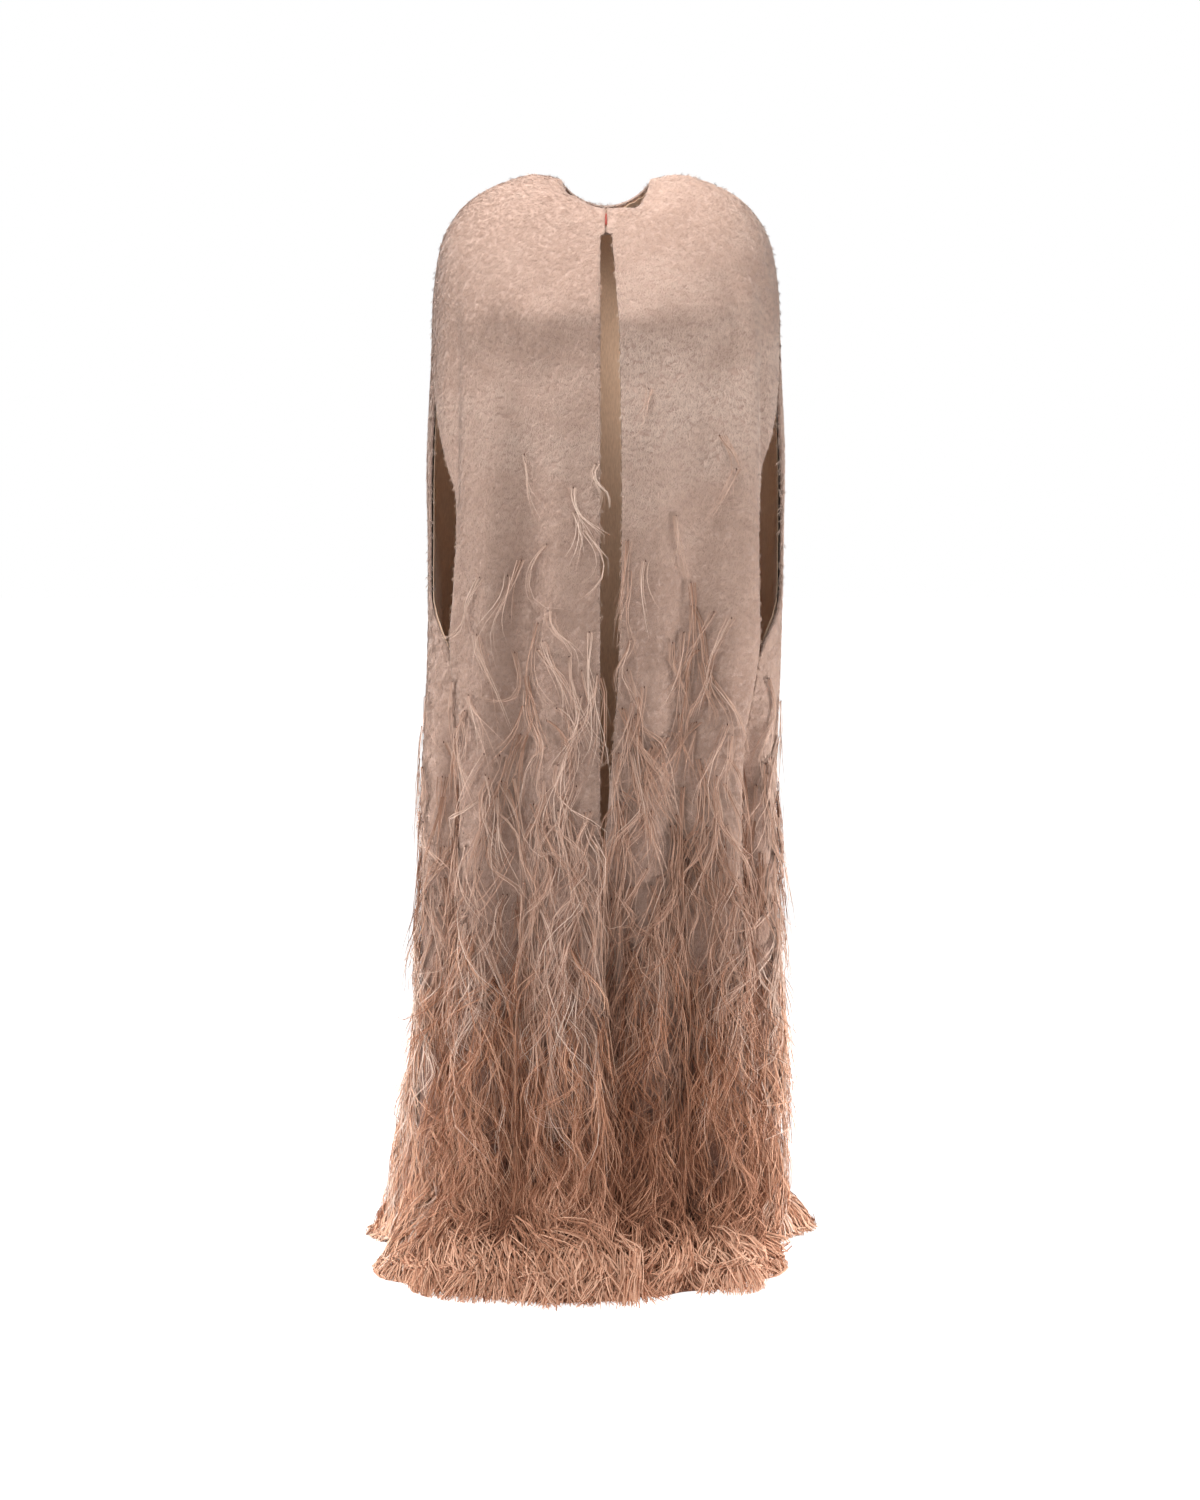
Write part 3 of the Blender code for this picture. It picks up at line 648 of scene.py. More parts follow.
FUR_SHADES = [
    (0.00, (0.300, 0.180, 0.135)),
    (0.35, (0.465, 0.308, 0.240)),
    (0.65, (0.610, 0.432, 0.348)),
    (1.00, (0.790, 0.625, 0.530)),
]
HAIR_ROOT_TO_TIP = [(0.0, (0.86, 0.83, 0.81)), (0.7, (1, 1, 1))]
pile_fur = strand_material("fur_pile", 0.90, 0.12, 0.4, 0.15, FUR_SHADES, HAIR_ROOT_TO_TIP)


def soft_noise(points, size, seed):
    """Smooth noise from -1 to 1 over points: a few sine waves of about a size in turned directions."""
    chance = np.random.default_rng(seed)
    total = np.zeros(points.shape[:-1])
    for wave in range(6):
        direction = unit(chance.normal(size=3)) / (size * chance.uniform(0.6, 1.5))
        total += np.sin(points @ direction * 2 * np.pi + chance.uniform(0, 2 * np.pi))
    return total / 3


clump = hair_clump()
tree = pile_tree()
pile = {}
for panel in PANELS:
    angles, grid_rows, outer, inner = panel_points[panel]
    points = rolled_edge(outer, inner)
    down, around = cloth_axes(panel, angles, grid_rows)
    nap = bordered(unit(down))
    nap[..., 0] += NAP_WANDER * soft_noise(points, NAP_WANDER_SIZE, NAP_SEED)
    height = points[..., 2]
    share = 1 - (1 - PILE_LOW_SHARE) * ramp(height, PILE_THIN_FROM_Z, PILE_THIN_TO_Z)
    share[height < PILE_END_Z] = 0
    if panel != "back":
        run = np.cumsum(np.linalg.norm(np.diff(points, axis=1, prepend=points[:, :1]), axis=-1), axis=1)
        from_edge = run if panel == "front_left" else run[:, -1:] - run
        row = np.pad(grid_rows, 1, mode="edge")
        at_throat = (row > THROAT_BARE_FROM_ROW) & (row < THROAT_BARE_TO_ROW)
        share = np.where((from_edge < THROAT_BARE_WIDTH) & at_throat, 0, share)
    if panel == "front_left":
        bare = BARE_EDGE_WIDTH * ramp(height, BARE_EDGE_FROM_Z, BARE_EDGE_TO_Z) * (height > BARE_EDGE_END_Z)
        share = np.where(from_edge < bare, 0, share)
    tone = PILE_TONE + PILE_TONE_PER_M * height
    tone += PATCH_TONE * soft_noise(points, PATCH_SIZE, PATCH_SEED)
    tone += FLECK_TONE * soft_noise(points, FLECK_SIZE, FLECK_SEED)
    # Painted light below the bust
    tone += PAINTED_WAIST_LIGHT[panel] * np.exp(-(((height - WAIST_Z[panel]) / WAIST_HEIGHT) ** 2))
    # Painted shade from the hip down, most on the left front
    tone += PAINTED_HIP_SHADE[panel] * ramp(height, HIP_FROM_Z, HIP_TO_Z)
    mesh = bpy.data.meshes.new(f"pile_{panel}_ground")
    faces = grid_faces(*points.shape[:2])
    mesh.from_pydata(points.reshape(-1, 3).tolist(), [], faces.tolist())
    mesh.attributes.new("pile_share", "FLOAT", "POINT").data.foreach_set("value", share.ravel())
    mesh.attributes.new("tone", "FLOAT", "POINT").data.foreach_set("value", np.clip(tone, 0.02, 0.98).ravel())
    mesh.attributes.new("nap", "FLOAT_VECTOR", "POINT").data.foreach_set("vector", nap.ravel())
    facing = bordered(off_cloth(panel, angles, grid_rows, np.zeros_like(angles))[1])
    mesh.attributes.new("cloth_normal", "FLOAT_VECTOR", "POINT").data.foreach_set("vector", facing.ravel())
    inputs = {
        "Clump": clump,
        "Clumps per m2": float(CLUMPS_PER_M2[panel]),
        "Smallest": CLUMP_SIZE[panel][0],
        "Largest": CLUMP_SIZE[panel][1],
        "Turn": CLUMP_TURN,
        "Seed": PILE_SEED[panel],
        "Material": pile_fur,
    }
    hairs = made_by_nodes(f"pile_{panel}_ground", mesh, tree, inputs)
    shade_like_cloth(hairs, HAIR_SHADED_AS_CLOTH)
    pile[panel] = new_piece(f"pile_{panel}", hairs, pile_fur)
    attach(pile[panel], "root")
bpy.data.objects.remove(clump)

# Feathers: loose strands of ostrich feather, knotted in bunches and sewn through the fur.
# They begin as single bunches below the bust, close up towards the knee, and hide the fur down to the floor,
# where they lie out over the hem. Each strand is a thin flat ribbon along the cloth.
STRAND_POINTS = 7
CENTRE_POINTS = 20
FEATHER_SEED = {"front_right": 31, "front_left": 32, "back": 33}
BUNCH_SHARE = {"front_right": 2.5, "front_left": 2.5, "back": 1.50}
# The back has its full share only beside the fronts; away from them it has less, and more on the floor
BACK_FULL_TO_DEG, BACK_HANGING_SHARE, BACK_LYING_SHARE = 112, 0.40, 0.70
# Beside the arm slits the feathers begin only below them
SIDE_FEATHERS_FROM_Z = -0.68
STRAND_HALF_WIDTH = {"front_right": 0.00056, "front_left": 0.00056, "back": 0.00075}
STAND_OFF_SHARE = {"front_right": 1.0, "front_left": 1.0, "back": 0.55}
STRAND_TIP_SHARE, LYING_TIP_SHARE = 0.20, 0.70
LYING_WIDER = 0.5
STRANDS_IN_A_BUNCH = (4, 9)
FLOOR_REST_Z = -1.4880
ROOT_LIFT = 0.004
ROOT_SPREAD = 0.0034
KNOT_HALF_WIDTH, KNOT_HALF_LENGTH = 0.0010, 0.0022
# Part of the bunches curl round at the end, and part of the strands stick out from the rest.
CURLED_SHARE, CURL_FROM_SHARE = 0.13, 0.4
CURL_TURN = (1.5, 3.5)
STICKING_SHARE, STICK_OUT = 0.30, 0.030
STICKING_REACH = (0.3, 1.0)
STICKING_FROM_Z, STICKING_TO_Z = -0.60, -1.00
STICKING_FADE_FROM_Z, STICKING_FADE_TO_Z = -1.18, -1.32
# How the feathers change down the cloth: height, bunches to a square metre, strand length, how far they
# stand off, and how light they are
FeatherZone = namedtuple("FeatherZone", "z bunches length stand_off tone")
FEATHER_ZONES = [
    FeatherZone(-0.260, 0, 0.100, 0.008, 0.92),
    FeatherZone(-0.330, 36, 0.110, 0.008, 0.92),
    FeatherZone(-0.550, 190, 0.130, 0.008, 0.88),
    FeatherZone(-0.700, 500, 0.145, 0.009, 0.80),
    FeatherZone(-0.850, 1050, 0.155, 0.011, 0.71),
    FeatherZone(-1.000, 1800, 0.155, 0.014, 0.64),
    FeatherZone(-1.150, 2700, 0.150, 0.018, 0.55),
    FeatherZone(-1.330, 3200, 0.140, 0.022, 0.50),
    # The darker tone here is painted shadow where the hanging strands meet the lying tufts, and the lighter
    # tones below are painted light on the tufts
    FeatherZone(-1.385, 8500, 0.110, 0.026, 0.42),
    FeatherZone(-1.425, 8500, 0.120, 0.038, 0.74),
    FeatherZone(-1.460, 2600, 0.100, 0.036, 0.80),
    FeatherZone(-1.490, 1800, 0.090, 0.030, 0.84),
]
# Feathers rooted below LYING_FROM_Z lie out over the floor in tufts that reach unevenly far past the hem.
LYING_FROM_Z, LYING_TO_Z = -1.375, -1.425
LAST_STITCH_ROW = SECTION_ROW["hem"] - 0.6
TUFT_SIZE = 0.055
TUFT_END_ROW, TUFT_END_SPREAD = 17.55, 1.00
TUFT_END_STRAY = 0.12
TUFT_TURN = 0.95
# Lying bunches wander less than hanging ones, by LYING_CALM, and their ends sink to the floor, by SETTLED
LYING_CALM = 0.35
SETTLED, SETTLED_LESS = 0.92, 0.6
# Bunches come in patches: the share kept on average, how far it differs, and the size of a patch
KEPT, KEPT_DIFFERS, KEPT_PATCH = 0.72, 0.45, 0.09
KEPT_SEED, TUFT_END_SEED, TUFT_HEADING_SEED, TUFT_BEND_SEED = 41, 42, 43, 44
# How far a bunch heads aside, bends and waves on its way down, in radians
HEADING, BEND, WAVE = 0.30, 0.45, 0.30
WAVES_ALONG = 7
# The feathers turn warmer towards the floor. Painted shade darkens them in the troughs and painted light
# lightens them on the ridges, and a painted shadow darkens them under the right front's edge.
WARM_FROM_Z, WARM_TO_Z = -0.95, -1.30
COOL_SHADES_FROM, WARM_SHADES_FROM, SHADES_SPAN = 0.02, 0.54, 0.44
PAINTED_FOLD_SHADING, PAINTED_TROUGH_SHADE_LIMIT, PAINTED_RIDGE_LIGHT_LIMIT = 8.0, -0.22, 0.10
UNDERLAP_PAINTED_SHADOW, UNDERLAP_SPREAD_DEG = -0.26, 11.0
UNDERLAP_FROM_Z, UNDERLAP_TO_Z = -0.85, -1.05
# The left front's feathers are painted darker where they hang, as painted shade, and painted lighter where
# they lie, as painted light, by LYING_TURNS_TONE
PANEL_PAINTED_SHADE_AND_LIGHT = {"front_right": 0.0, "front_left": -0.12, "back": 0.0}
LYING_TURNS_TONE = 1.8
# How far the shades of bunches and of single strands differ, which is less where they are sparse
BUNCH_TONE_DIFFERS, STRAND_TONE_DIFFERS, SPARSE_SHARE = 0.12, 0.15, 0.45
SPARSE_TO_Z, DENSE_FROM_Z = -0.80, -1.15
# Strands are painted lighter and less warm at the cape's sides near the floor, as painted light for the light
# that comes through them.
SIDE_PAINTED_LIGHT, SIDE_ANGLE, SIDE_SPREAD_DEG = 0.48, 92, 24
SIDE_TONE_FROM_Z, SIDE_TONE_TO_Z = -0.95, -1.15
SIDE_LESS_WARM = 0.5
# How far in degrees the right front's strands hang over its edge, by section: they fan out near the floor
EDGE_OVERHANG = {"hip": 1.0, "knee": 1.0, "calf": 6.0, "break": 3.0, "pool": 1.0, "feather reach": 0.8}
OVERHANG_ROWS = [SECTION_ROW[name] for name in EDGE_OVERHANG]
UNDER_THE_EDGE_DEG = 0.3
# Ridges of the fronts where the fur stays bare furthest down: angle, half width in degrees, and how bare
BARE_RIDGES = [(-43, 9, 0.80), (-11, 6, 0.45), (48, 8, 0.70), (14, 6, 0.40)]
BARE_RIDGES_FROM_Z, BARE_RIDGES_TO_Z = -0.90, -1.12
ZONE_DEPTHS = np.array([-zone.z for zone in FEATHER_ZONES])


def zone_value(name, z):
    """A column of FEATHER_ZONES read at heights."""
    return np.interp(-z, ZONE_DEPTHS, np.array([getattr(zone, name) for zone in FEATHER_ZONES], float))


def bunch_roots(panel, chance):
    """Angles and rows where bunches are sewn on, and the length of cloth and feather below each."""
    step, across = 0.004, 300
    rows, lengths = rows_down(panel, SECTION_ROW["bust"], LAST_ROW, step)
    ring_angles, ring_rows = panel_grid(panel, rows, across)
    ring = surface(panel, ring_angles, ring_rows)
    run = np.cumsum(np.linalg.norm(np.diff(ring, axis=1, prepend=ring[:, :1]), axis=-1), axis=1)
    weight = BUNCH_SHARE[panel] * zone_value("bunches", ring[:, across // 2, 2]) * run[:, -1] * step
    weight[rows > LAST_STITCH_ROW] = 0
    count = int(weight.sum())
    spread_down = (np.arange(count) + chance.random(count)) / count * weight.sum()
    pick = np.searchsorted(np.cumsum(weight), spread_down)
    along = run[pick, -1] * chance.uniform(0.0, 1.0, count)
    spot = np.minimum((run[pick] < along[:, None]).sum(axis=1), across)
    angle = ring_angles[pick, spot] + chance.uniform(-0.3, 0.3, count)
    row = rows[pick] + chance.uniform(-0.01, 0.01, count)
    place = surface(panel, angle, row)
    kept = KEPT + KEPT_DIFFERS * soft_noise(place, KEPT_PATCH, KEPT_SEED)
    for ridge_angle, spread, bareness in BARE_RIDGES:
        bare = bareness * np.exp(-((turn_between(angle, ridge_angle) / spread) ** 2))
        kept = kept * (1 - bare * (1 - ramp(place[:, 2], BARE_RIDGES_FROM_Z, BARE_RIDGES_TO_Z)))
    kept = np.maximum(kept, ramp(place[:, 2], LYING_FROM_Z, LYING_TO_Z))
    if panel == "back":
        beside = np.abs(turn_between(angle, 0)) < BACK_FULL_TO_DEG
        lying = ramp(place[:, 2], LYING_FROM_Z, LYING_TO_Z)
        away = BACK_HANGING_SHARE + (BACK_LYING_SHARE - BACK_HANGING_SHARE) * lying
        kept = kept * np.where(beside, place[:, 2] < SIDE_FEATHERS_FROM_Z, away)
    shown = chance.random(count) < kept
    if panel == "front_left":
        shown &= angle > edge_angle(column("right_edge_x", row), row) + 0.5
    angle, row, place = angle[shown], row[shown], place[shown]
    end_row = TUFT_END_ROW + TUFT_END_SPREAD * soft_noise(place, TUFT_SIZE, TUFT_END_SEED)
    end_row = end_row + chance.normal(0, TUFT_END_STRAY, len(row))
    end_row = np.clip(end_row, np.maximum(SECTION_ROW["hem"], row + 0.2), LAST_ROW)
    below = np.interp(end_row, rows, lengths) - np.interp(row, rows, lengths)
    return angle, row, below


def kept_to_its_front(panel, angle, row):
    """Angles held to what shows of each front where the right one's edge lies on the left one."""
    overlap_edge = edge_angle(column("right_edge_x", row), row)
    if panel == "front_left":
        return np.maximum(angle, overlap_edge + UNDER_THE_EDGE_DEG)
    if panel == "front_right":
        return np.minimum(angle, overlap_edge + np.interp(row, OVERHANG_ROWS, list(EDGE_OVERHANG.values())))
    return angle


def bunch_paths(panel, angle, row, length, lying, chance):
    """The way of each bunch's middle down the cloth: angles and rows at even steps along its length."""
    count = len(angle)
    calm = 1 - LYING_CALM * lying
    place = surface(panel, angle, row)
    heading = chance.normal(0, HEADING, count) * calm
    heading += TUFT_TURN * lying * soft_noise(place, TUFT_SIZE, TUFT_HEADING_SEED)
    bend = chance.normal(0, BEND, count) * calm
    bend += TUFT_TURN * lying * soft_noise(place, TUFT_SIZE, TUFT_BEND_SEED)
    wave = chance.normal(0, WAVE, count) * calm
    phase = chance.uniform(0, 2 * np.pi, count)
    curled = chance.random(count) < CURLED_SHARE
    curl = chance.choice([-1, 1], count) * chance.uniform(*CURL_TURN, count)
    curl = np.where(curled, curl, 0)
    step = length / (CENTRE_POINTS - 1)
    angles, rows = [angle], [row]
    for k in range(CENTRE_POINTS - 1):
        share = k / (CENTRE_POINTS - 1)
        way = heading * (1 - share) + bend * share + wave * np.sin(phase + WAVES_ALONG * share)
        way += curl * calm * max(share - CURL_FROM_SHARE, 0)
        down, around = cloth_axes(panel, angle, row)
        angle = angle + step * np.sin(way) / np.maximum(np.linalg.norm(around, axis=-1), 1e-4)
        row = row + step * np.cos(way) / np.maximum(np.linalg.norm(down, axis=-1), 1e-3)
        row = np.clip(row, SECTION_ROW["bust"], LAST_ROW)
        angle = kept_to_its_front(panel, angle, row)
        angles.append(angle)
        rows.append(row)
    return np.stack(angles, axis=1), np.stack(rows, axis=1)


def tone_spread(z):
    """How much the shades of single strands differ: less where they are sparse."""
    return SPARSE_SHARE + (1 - SPARSE_SHARE) * ramp(z, SPARSE_TO_Z, DENSE_FROM_Z)


def at_side(angle, z):
    """1 at the cape's two sides near the floor and 0 away from them."""
    from_side = (np.abs(turn_between(angle, 0)) - SIDE_ANGLE) / SIDE_SPREAD_DEG
    return np.exp(-(from_side**2)) * ramp(z, SIDE_TONE_FROM_Z, SIDE_TONE_TO_Z)


def bunch_tones(panel, angle, z, chance):
    """How light each bunch is, from 0 to 1, with painted shade and painted light from the folds, the right
    front's edge, the left front and the sides.
    """
    tone = zone_value("tone", z) + chance.normal(0, BUNCH_TONE_DIFFERS, len(z)) * tone_spread(z)
    # Painted shade in the troughs and painted light on the ridges
    painted_fold_shade = PAINTED_FOLD_SHADING * fold_depth(angle, np.maximum(z, LYING_FROM_Z))
    tone += np.clip(painted_fold_shade, PAINTED_TROUGH_SHADE_LIMIT, PAINTED_RIDGE_LIGHT_LIMIT)
    # Painted shade on the left front's hanging feathers and painted light on its lying ones
    tone += PANEL_PAINTED_SHADE_AND_LIGHT[panel] * (1 - LYING_TURNS_TONE * ramp(z, LYING_FROM_Z, LYING_TO_Z))
    # Painted light at the sides near the floor
    tone += SIDE_PAINTED_LIGHT * at_side(angle, z)
    if panel == "front_left":
        # Painted shadow under the right front's edge
        edge_shadow = np.exp(-((angle / UNDERLAP_SPREAD_DEG) ** 2))
        tone += UNDERLAP_PAINTED_SHADOW * edge_shadow * ramp(z, UNDERLAP_FROM_Z, UNDERLAP_TO_Z)
    return tone


def strand_paths(panel, chance):
    """Angle, row and stand-off along every strand, its shade, how far it lies on the floor, and the roots."""
    bunch_angle, bunch_row, bunch_below = bunch_roots(panel, chance)
    bunches = len(bunch_angle)
    bunch_z = surface(panel, bunch_angle, bunch_row)[:, 2]
    lying = ramp(bunch_z, LYING_FROM_Z, LYING_TO_Z)
    hanging = np.minimum(zone_value("length", bunch_z) * chance.uniform(0.7, 1.3, bunches), bunch_below)
    bunch_length = hanging + lying * (bunch_below * chance.uniform(0.88, 1.10, bunches) - hanging)
    bunch_length = np.maximum(bunch_length, 0.02)
    middle_angles, middle_rows = bunch_paths(panel, bunch_angle, bunch_row, bunch_length, lying, chance)
    bunch_tone = bunch_tones(panel, bunch_angle, bunch_z, chance)
    # The sides are less warm as part of the painted side light
    warm_share = ramp(bunch_z, WARM_FROM_Z, WARM_TO_Z) * (1 - SIDE_LESS_WARM * at_side(bunch_angle, bunch_z))
    bunch_warm = chance.random(bunches) < warm_share

    of_bunch = np.repeat(np.arange(bunches), chance.integers(*STRANDS_IN_A_BUNCH, bunches))
    strands = len(of_bunch)
    reach = 1 - (1 - chance.uniform(0.55, 1.0, strands)) * (1 - 0.6 * lying[of_bunch])
    root_side = chance.normal(0, 1, strands) * ROOT_SPREAD
    stray = chance.normal(0, 0.10, strands) * bunch_length[of_bunch] * (1 - 0.4 * lying[of_bunch])
    rise = STAND_OFF_SHARE[panel] * zone_value("stand_off", bunch_z[of_bunch])
    rise *= chance.uniform(0.25, 1.3, strands)
    tone = chance.normal(0, STRAND_TONE_DIFFERS, strands) * tone_spread(bunch_z[of_bunch])
    tone = np.clip(bunch_tone[of_bunch] + tone, 0.0, 1.0)
    shade = np.where(bunch_warm[of_bunch], WARM_SHADES_FROM, COOL_SHADES_FROM) + SHADES_SPAN * tone

    share = np.linspace(0, 1, STRAND_POINTS)[None, :]
    spot = share * reach[:, None] * (CENTRE_POINTS - 1)
    whole = np.minimum(spot.astype(int), CENTRE_POINTS - 2)
    part = spot - whole
    pick = of_bunch[:, None]
    angles = middle_angles[pick, whole] * (1 - part) + middle_angles[pick, whole + 1] * part
    rows = middle_rows[pick, whole] * (1 - part) + middle_rows[pick, whole + 1] * part
    down, around = cloth_axes(panel, angles, rows)
    aside = root_side[:, None] * (1 - 1.1 * share) + stray[:, None] * share**2
    slack = (chance.normal(0, 0.6, strands) * (1 + 3 * lying[of_bunch]))[:, None]
    angles = angles + aside / np.maximum(np.linalg.norm(around, axis=-1), 1e-4)
    angles = kept_to_its_front(panel, angles - slack, rows) + slack
    lifts = ROOT_LIFT + rise[:, None] * (np.sin(np.pi * (0.08 + 0.74 * share)) ** 1.2 - 0.15)
    settled = SETTLED * lying[of_bunch] * (1 - SETTLED_LESS * chance.random(strands) ** 3)
    lifts = lifts * (1 - settled[:, None] * share**2)
    sticking = (chance.random(strands) < STICKING_SHARE) * chance.uniform(*STICKING_REACH, strands)
    sticking *= 1 - lying[of_bunch]
    sticking *= STICK_OUT * ramp(bunch_z[of_bunch], STICKING_FROM_Z, STICKING_TO_Z)
    sticking *= ramp(bunch_z[of_bunch], STICKING_FADE_TO_Z, STICKING_FADE_FROM_Z)
    lifts = lifts + sticking[:, None] * share**1.5
    return angles, rows, np.maximum(lifts, 0.0015), shade, lying[of_bunch], (bunch_angle, bunch_row)


def feather_mesh(panel):
    chance = np.random.default_rng(FEATHER_SEED[panel])
    angles, rows, lifts, shade, lying, roots = strand_paths(panel, chance)
    points, normals = off_cloth(panel, angles, rows, lifts)
    tangents = unit(np.gradient(points, axis=1))
    sideways = unit(np.cross(normals, tangents))
    roll = chance.normal(0, 0.5, len(points))[:, None, None]
    sideways = sideways * np.cos(roll) + normals * np.sin(roll)
    share = np.linspace(0, 1, STRAND_POINTS)
    tip_share = STRAND_TIP_SHARE + (LYING_TIP_SHARE - STRAND_TIP_SHARE) * lying[:, None]
    half = STRAND_HALF_WIDTH[panel] * (1 + LYING_WIDER * lying[:, None]) * (1 - (1 - tip_share) * share**1.5)
    half = half[..., None] * chance.uniform(0.7, 1.25, len(points))[:, None, None]
    ribbon = np.stack([points - sideways * half, points + sideways * half], axis=2)
    ribbon[..., 2] = np.maximum(ribbon[..., 2], FLOOR_REST_Z)
    faces = grid_faces(STRAND_POINTS, 2)
    faces = (faces[None] + np.arange(len(points))[:, None, None] * STRAND_POINTS * 2).reshape(-1, 4)
    shade = np.broadcast_to(shade[:, None, None], ribbon.shape[:3])
    along = np.broadcast_to(share[None, :, None], ribbon.shape[:3])
    chart = np.stack([shade, along], axis=-1).reshape(-1, 2)

    knot_points, knot_normals = off_cloth(panel, *roots, np.full(len(roots[0]), ROOT_LIFT))
    down, around = cloth_axes(panel, *roots)
    down, around = unit(down) * KNOT_HALF_LENGTH, unit(around) * KNOT_HALF_WIDTH
    outward = knot_normals * KNOT_HALF_WIDTH
    corners = [-down, around, outward, -around, -outward, down]
    knots = np.stack([knot_points + corner for corner in corners], axis=1)
    sides = []
    for a, b in ((1, 2), (2, 3), (3, 4), (4, 1)):
        sides += [(0, a, b), (5, b, a)]
    first = ribbon.size // 3
    knot_faces = (np.array(sides)[None] + np.arange(len(knots))[:, None, None] * 6).reshape(-1, 3) + first

    mesh = bpy.data.meshes.new(f"feathers_on_{panel}")
    every_point = np.concatenate([ribbon.reshape(-1, 3), knots.reshape(-1, 3)])
    mesh.from_pydata(every_point.tolist(), [], faces.tolist() + knot_faces.tolist())
    chart = np.concatenate([chart, np.zeros((knots.size // 3, 2))])
    corner_points = np.empty(len(mesh.loops), int)
    mesh.loops.foreach_get("vertex_index", corner_points)
    mesh.uv_layers.new(name="OFBake").data.foreach_set("uv", chart[corner_points].ravel())
    mesh.shade_smooth()
    return mesh


# Two runs of shades in one ramp: the paler pink ones of the upper strands, then the warm browns lower down
FEATHER_SHADES = [
    (0.02, (0.110, 0.045, 0.028)),
    (0.15, (0.270, 0.138, 0.088)),
    (0.28, (0.470, 0.275, 0.194)),
    (0.37, (0.610, 0.415, 0.325)),
    (0.46, (0.780, 0.595, 0.490)),
    (0.54, (0.115, 0.038, 0.019)),
    (0.67, (0.290, 0.120, 0.064)),
    (0.80, (0.520, 0.256, 0.156)),
    (0.98, (0.770, 0.460, 0.315)),
]
STRAND_ROOT_TO_TIP = [(0.0, (0.72, 0.68, 0.66)), (0.30, (0.96, 0.96, 0.96)), (1.0, (1.0, 1.0, 1.0))]
feather = strand_material("feather_strands", 0.75, 0.08, 0.35, 0.2, FEATHER_SHADES, STRAND_ROOT_TO_TIP)

FRINGE_STRIPS = 5
for panel in PANELS:
    feathers = new_piece(f"feathers_on_{panel}", feather_mesh(panel), feather)
    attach(feathers, "root")
    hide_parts(*[f"feathers_{panel}_{number}" for number in range(1, FRINGE_STRIPS + 1)])
    cloth = fur_panels[panel]
    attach(cloth, "root")
    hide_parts(panel)

# Satin lining: a loose satin body lining, cut like the fur and felled to it a little inside every edge.
# It shows inside the neck and in the front opening, with soft upright folds where it is eased in.
LINING_WALL = 0.001
LINING_DEPTH = 0.0062
LINING_SET_BACK = 0.005
LINING_TOP_ROW = 0.05
LINING_COLUMNS = {"front_right": 36, "front_left": 36, "back": 92}
LINING_STEP_DOWN = 0.020
# Upright folds of the satin: angle from the centre front, half the fold's width in degrees, depth inwards
LINING_FOLDS = [
    (-48, 5, 0.0022), (-33, 4, 0.0016), (-17, 4, 0.0014), (16, 4, 0.0014), (30, 4, 0.0020),
    (45, 5, 0.0018), (70, 5, 0.0020), (93, 5, 0.0024), (110, 4, 0.0018), (128, 4, 0.0026),
    (141, 4, 0.0018), (157, 4, 0.0028), (170, 4, 0.0016), (184, 5, 0.0026), (201, 4, 0.0020),
    (216, 4, 0.0028), (231, 4, 0.0018), (246, 5, 0.0024), (268, 5, 0.0022), (289, 4, 0.0018),
]

satin, shader, links = new_material("lining_satin", 0.38, sheen=0.15)
SATIN_DARK, SATIN_LIGHT = (0.620, 0.420, 0.285), (0.760, 0.540, 0.380)
place = satin.node_tree.nodes.new("ShaderNodeTexCoord")
stretch = add_node(satin, "ShaderNodeMapping", Scale=(900.0, 900.0, 120.0))
weave = add_node(satin, "ShaderNodeTexNoise", Scale=1.0, Detail=2.0)
satin_colour = colour_ramp(satin, [(0.35, SATIN_DARK), (0.65, SATIN_LIGHT)])
weave_bump = add_node(satin, "ShaderNodeBump", Strength=0.15, Distance=0.0004)
links.new(place.outputs["Object"], stretch.inputs["Vector"])
links.new(stretch.outputs["Vector"], weave.inputs["Vector"])
links.new(weave.outputs["Fac"], satin_colour.inputs["Fac"])
links.new(satin_colour.outputs["Color"], shader.inputs["Base Color"])
links.new(weave.outputs["Fac"], weave_bump.inputs["Height"])
links.new(weave_bump.outputs["Normal"], shader.inputs["Normal"])

for panel in PANELS:
    rows, lengths = rows_down(panel, LINING_TOP_ROW, SECTION_ROW["ankle"], LINING_STEP_DOWN)
    angles, grid_rows = panel_grid(panel, rows, LINING_COLUMNS[panel], LINING_SET_BACK)
    eased = np.zeros_like(angles)
    for angle, spread, depth in LINING_FOLDS:
        eased += depth * np.exp(-((turn_between(angles, angle) / spread) ** 2))
    outer, normals = off_cloth(panel, angles, grid_rows, -LINING_DEPTH - eased)
    inner = outer - normals * LINING_WALL
    lining = new_piece(f"satin_{panel}", closed_shell(f"satin_{panel}", outer, inner), satin)
    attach(lining, "root")
    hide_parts(f"lining_{panel}")

# Hook and eye at the throat: bent wire wound with red thread, sewn inside the two front edges.
# The hook stays fastened. A short bar of the thread shows between the edges, as in the photograph.
wire, shader, links = new_material("throat_wire", 0.55)
WIRE_DARK, WIRE_LIGHT = (0.260, 0.020, 0.015), (0.620, 0.080, 0.050)
THREAD_BAR_ROWS, THREAD_BAR_RINGS = (0.30, 0.95), 9
THREAD_BAR_RADIUS, THREAD_BAR_SIDES = 0.0010, 8
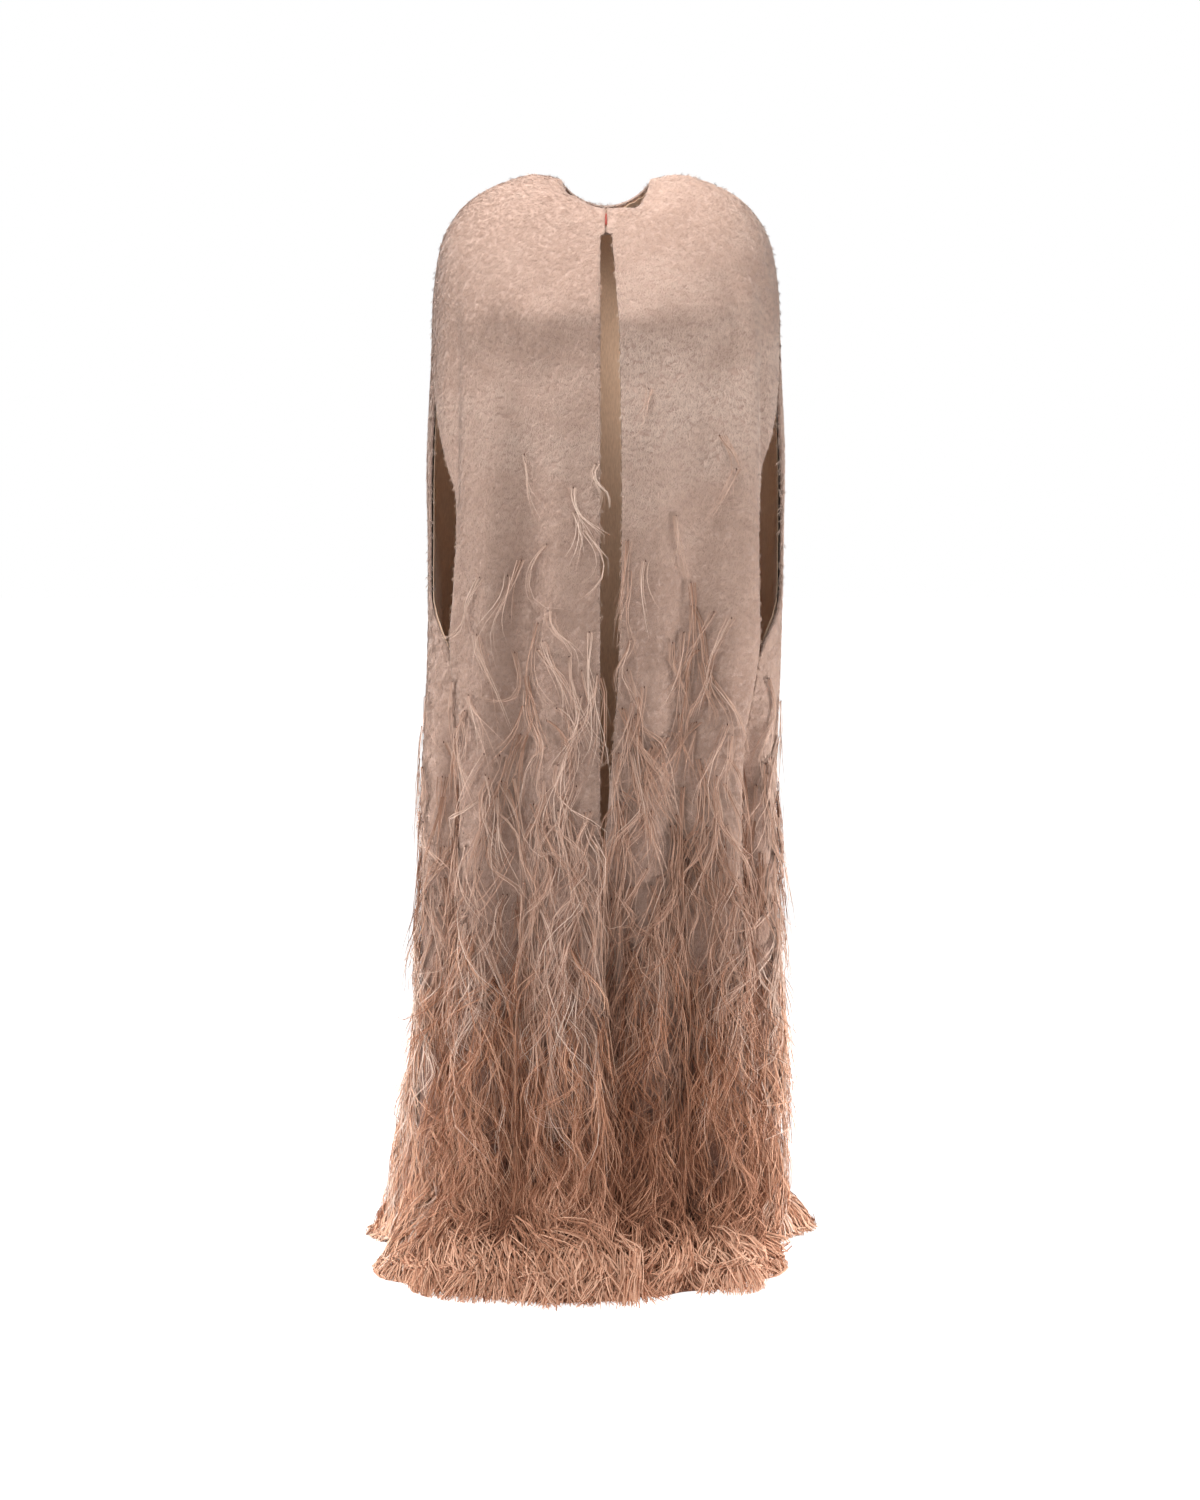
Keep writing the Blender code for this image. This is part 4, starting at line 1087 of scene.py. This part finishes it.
# The bar's rings are those of a spindle, cut off near its two ends
SPINDLE_CUT, SPINDLE_POWER = 0.08, 0.4
place = wire.node_tree.nodes.new("ShaderNodeTexCoord")
winding = add_node(wire, "ShaderNodeTexNoise", Scale=2400.0, Detail=2.0)
wire_colour = colour_ramp(wire, [(0.35, WIRE_DARK), (0.70, WIRE_LIGHT)])
links.new(place.outputs["Object"], winding.inputs["Vector"])
links.new(winding.outputs["Fac"], wire_colour.inputs["Fac"])
links.new(wire_colour.outputs["Color"], shader.inputs["Base Color"])
for node_name in ("neck_hook", "neck_eye"):
    wire_mesh = bpy.data.objects[node_name].data
    wire_mesh.materials.clear()
    wire_mesh.materials.append(wire)
bar_rows = np.linspace(*THREAD_BAR_ROWS, THREAD_BAR_RINGS)
bar_middle, bar_out = off_cloth("front_right", np.zeros_like(bar_rows), bar_rows, np.zeros_like(bar_rows))
bar_side = unit(np.cross(np.gradient(bar_middle, axis=0), bar_out))
bar_shares = np.linspace(SPINDLE_CUT, 1 - SPINDLE_CUT, THREAD_BAR_RINGS)
bar_thick = THREAD_BAR_RADIUS * np.sin(np.pi * bar_shares) ** SPINDLE_POWER
bar_points = [bar_middle[0], bar_middle[-1]]
for middle, out, side, radius in zip(bar_middle, bar_out, bar_side, bar_thick):
    for turn in 2 * np.pi * np.arange(THREAD_BAR_SIDES) / THREAD_BAR_SIDES:
        bar_points.append(middle + radius * (out * np.cos(turn) + side * np.sin(turn)))
bar_faces = []
last_ring = 2 + (THREAD_BAR_RINGS - 1) * THREAD_BAR_SIDES
for k in range(THREAD_BAR_SIDES):
    after = (k + 1) % THREAD_BAR_SIDES
    bar_faces += [(0, 2 + after, 2 + k), (1, last_ring + k, last_ring + after)]
    for ring in range(2, last_ring, THREAD_BAR_SIDES):
        lower = ring + THREAD_BAR_SIDES
        bar_faces.append((ring + k, ring + after, lower + after, lower + k))
bar_mesh = bpy.data.meshes.new("throat_thread")
bar_mesh.from_pydata([tuple(point) for point in bar_points], [], bar_faces)
bar_mesh.shade_smooth()
thread_bar = new_piece("throat_thread", bar_mesh, wire)
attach(thread_bar, "root")

# Floor, light and camera: a pale sweep with soft light from above and in front, seen as in the photograph.
FLOOR_Z = -1.4890
FLOOR_HALF = 40.0
FLOOR_COLOUR = (0.90, 0.90, 0.90)
FLOOR_GLOW = 0.20
FLOOR_SEEN = 1.0
SKY_LIGHT = 0.19
floor_mesh = bpy.data.meshes.new("floor")
corners = [(x * FLOOR_HALF, y * FLOOR_HALF, FLOOR_Z) for x, y in ((-1, -1), (1, -1), (1, 1), (-1, 1))]
floor_mesh.from_pydata(corners, [], [(0, 1, 2, 3)])
paper, shader, links = new_material("floor_paper", 0.9)
shader.inputs["Base Color"].default_value = (*FLOOR_COLOUR, 1)
shader.inputs["Emission Color"].default_value = (1, 1, 1, 1)
seen = paper.node_tree.nodes.new("ShaderNodeLightPath")
glow = add_node(paper, "ShaderNodeMapRange", To_Min=FLOOR_GLOW, To_Max=FLOOR_SEEN)
links.new(seen.outputs["Is Camera Ray"], glow.inputs["Value"])
links.new(glow.outputs["Result"], shader.inputs["Emission Strength"])
new_piece("floor", floor_mesh, paper)

world = bpy.data.worlds.new("studio")
world.use_nodes = True
backdrop = world.node_tree.nodes["Background"]
backdrop.inputs["Color"].default_value = (1, 1, 1, 1)
ray = world.node_tree.nodes.new("ShaderNodeLightPath")
strength = world.node_tree.nodes.new("ShaderNodeMapRange")
strength.inputs["To Min"].default_value = SKY_LIGHT
strength.inputs["To Max"].default_value = 1.0
world.node_tree.links.new(ray.outputs["Is Camera Ray"], strength.inputs["Value"])
world.node_tree.links.new(strength.outputs["Result"], backdrop.inputs["Strength"])
bpy.context.scene.world = world
bpy.context.scene.view_settings.view_transform = "Standard"


def soft_light(name, spot, aim, size, power):
    light = bpy.data.lights.new(name, "AREA")
    light.shape, light.size, light.energy = "DISK", size, power
    lamp = bpy.data.objects.new(name, light)
    lamp.location = spot
    lamp.rotation_euler = (Vector(aim) - Vector(spot)).to_track_quat("-Z", "Y").to_euler()
    bpy.context.scene.collection.objects.link(lamp)


soft_light("top_light", (-0.25, -0.82, 1.70), (0, -0.05, -0.4), 0.9, 78)
soft_light("front_light", (-3.1, -3.4, 1.4), (0, 0, -0.8), 1.4, 28)
soft_light("low_right_light", (1.30, -0.30, -1.40), (0.1, 0, -1.30), 0.4, 23)
soft_light("low_left_light", (-1.30, -0.30, -1.40), (-0.1, 0, -1.30), 0.4, 15)

CAMERA_SPOT = (-0.0008, -5.275, -0.4577)
CAMERA_PITCH_DEG = 3.561
CAMERA_YAW_DEG = 0.0806
LENS_MM = 92.12
camera_data = bpy.data.cameras.new("camera")
camera_data.sensor_width = 36.0
camera_data.lens = LENS_MM
camera = bpy.data.objects.new("camera", camera_data)
camera.location = CAMERA_SPOT
camera.rotation_euler = (math.radians(90 - CAMERA_PITCH_DEG), 0, math.radians(CAMERA_YAW_DEG))
bpy.context.scene.collection.objects.link(camera)
bpy.context.scene.camera = camera
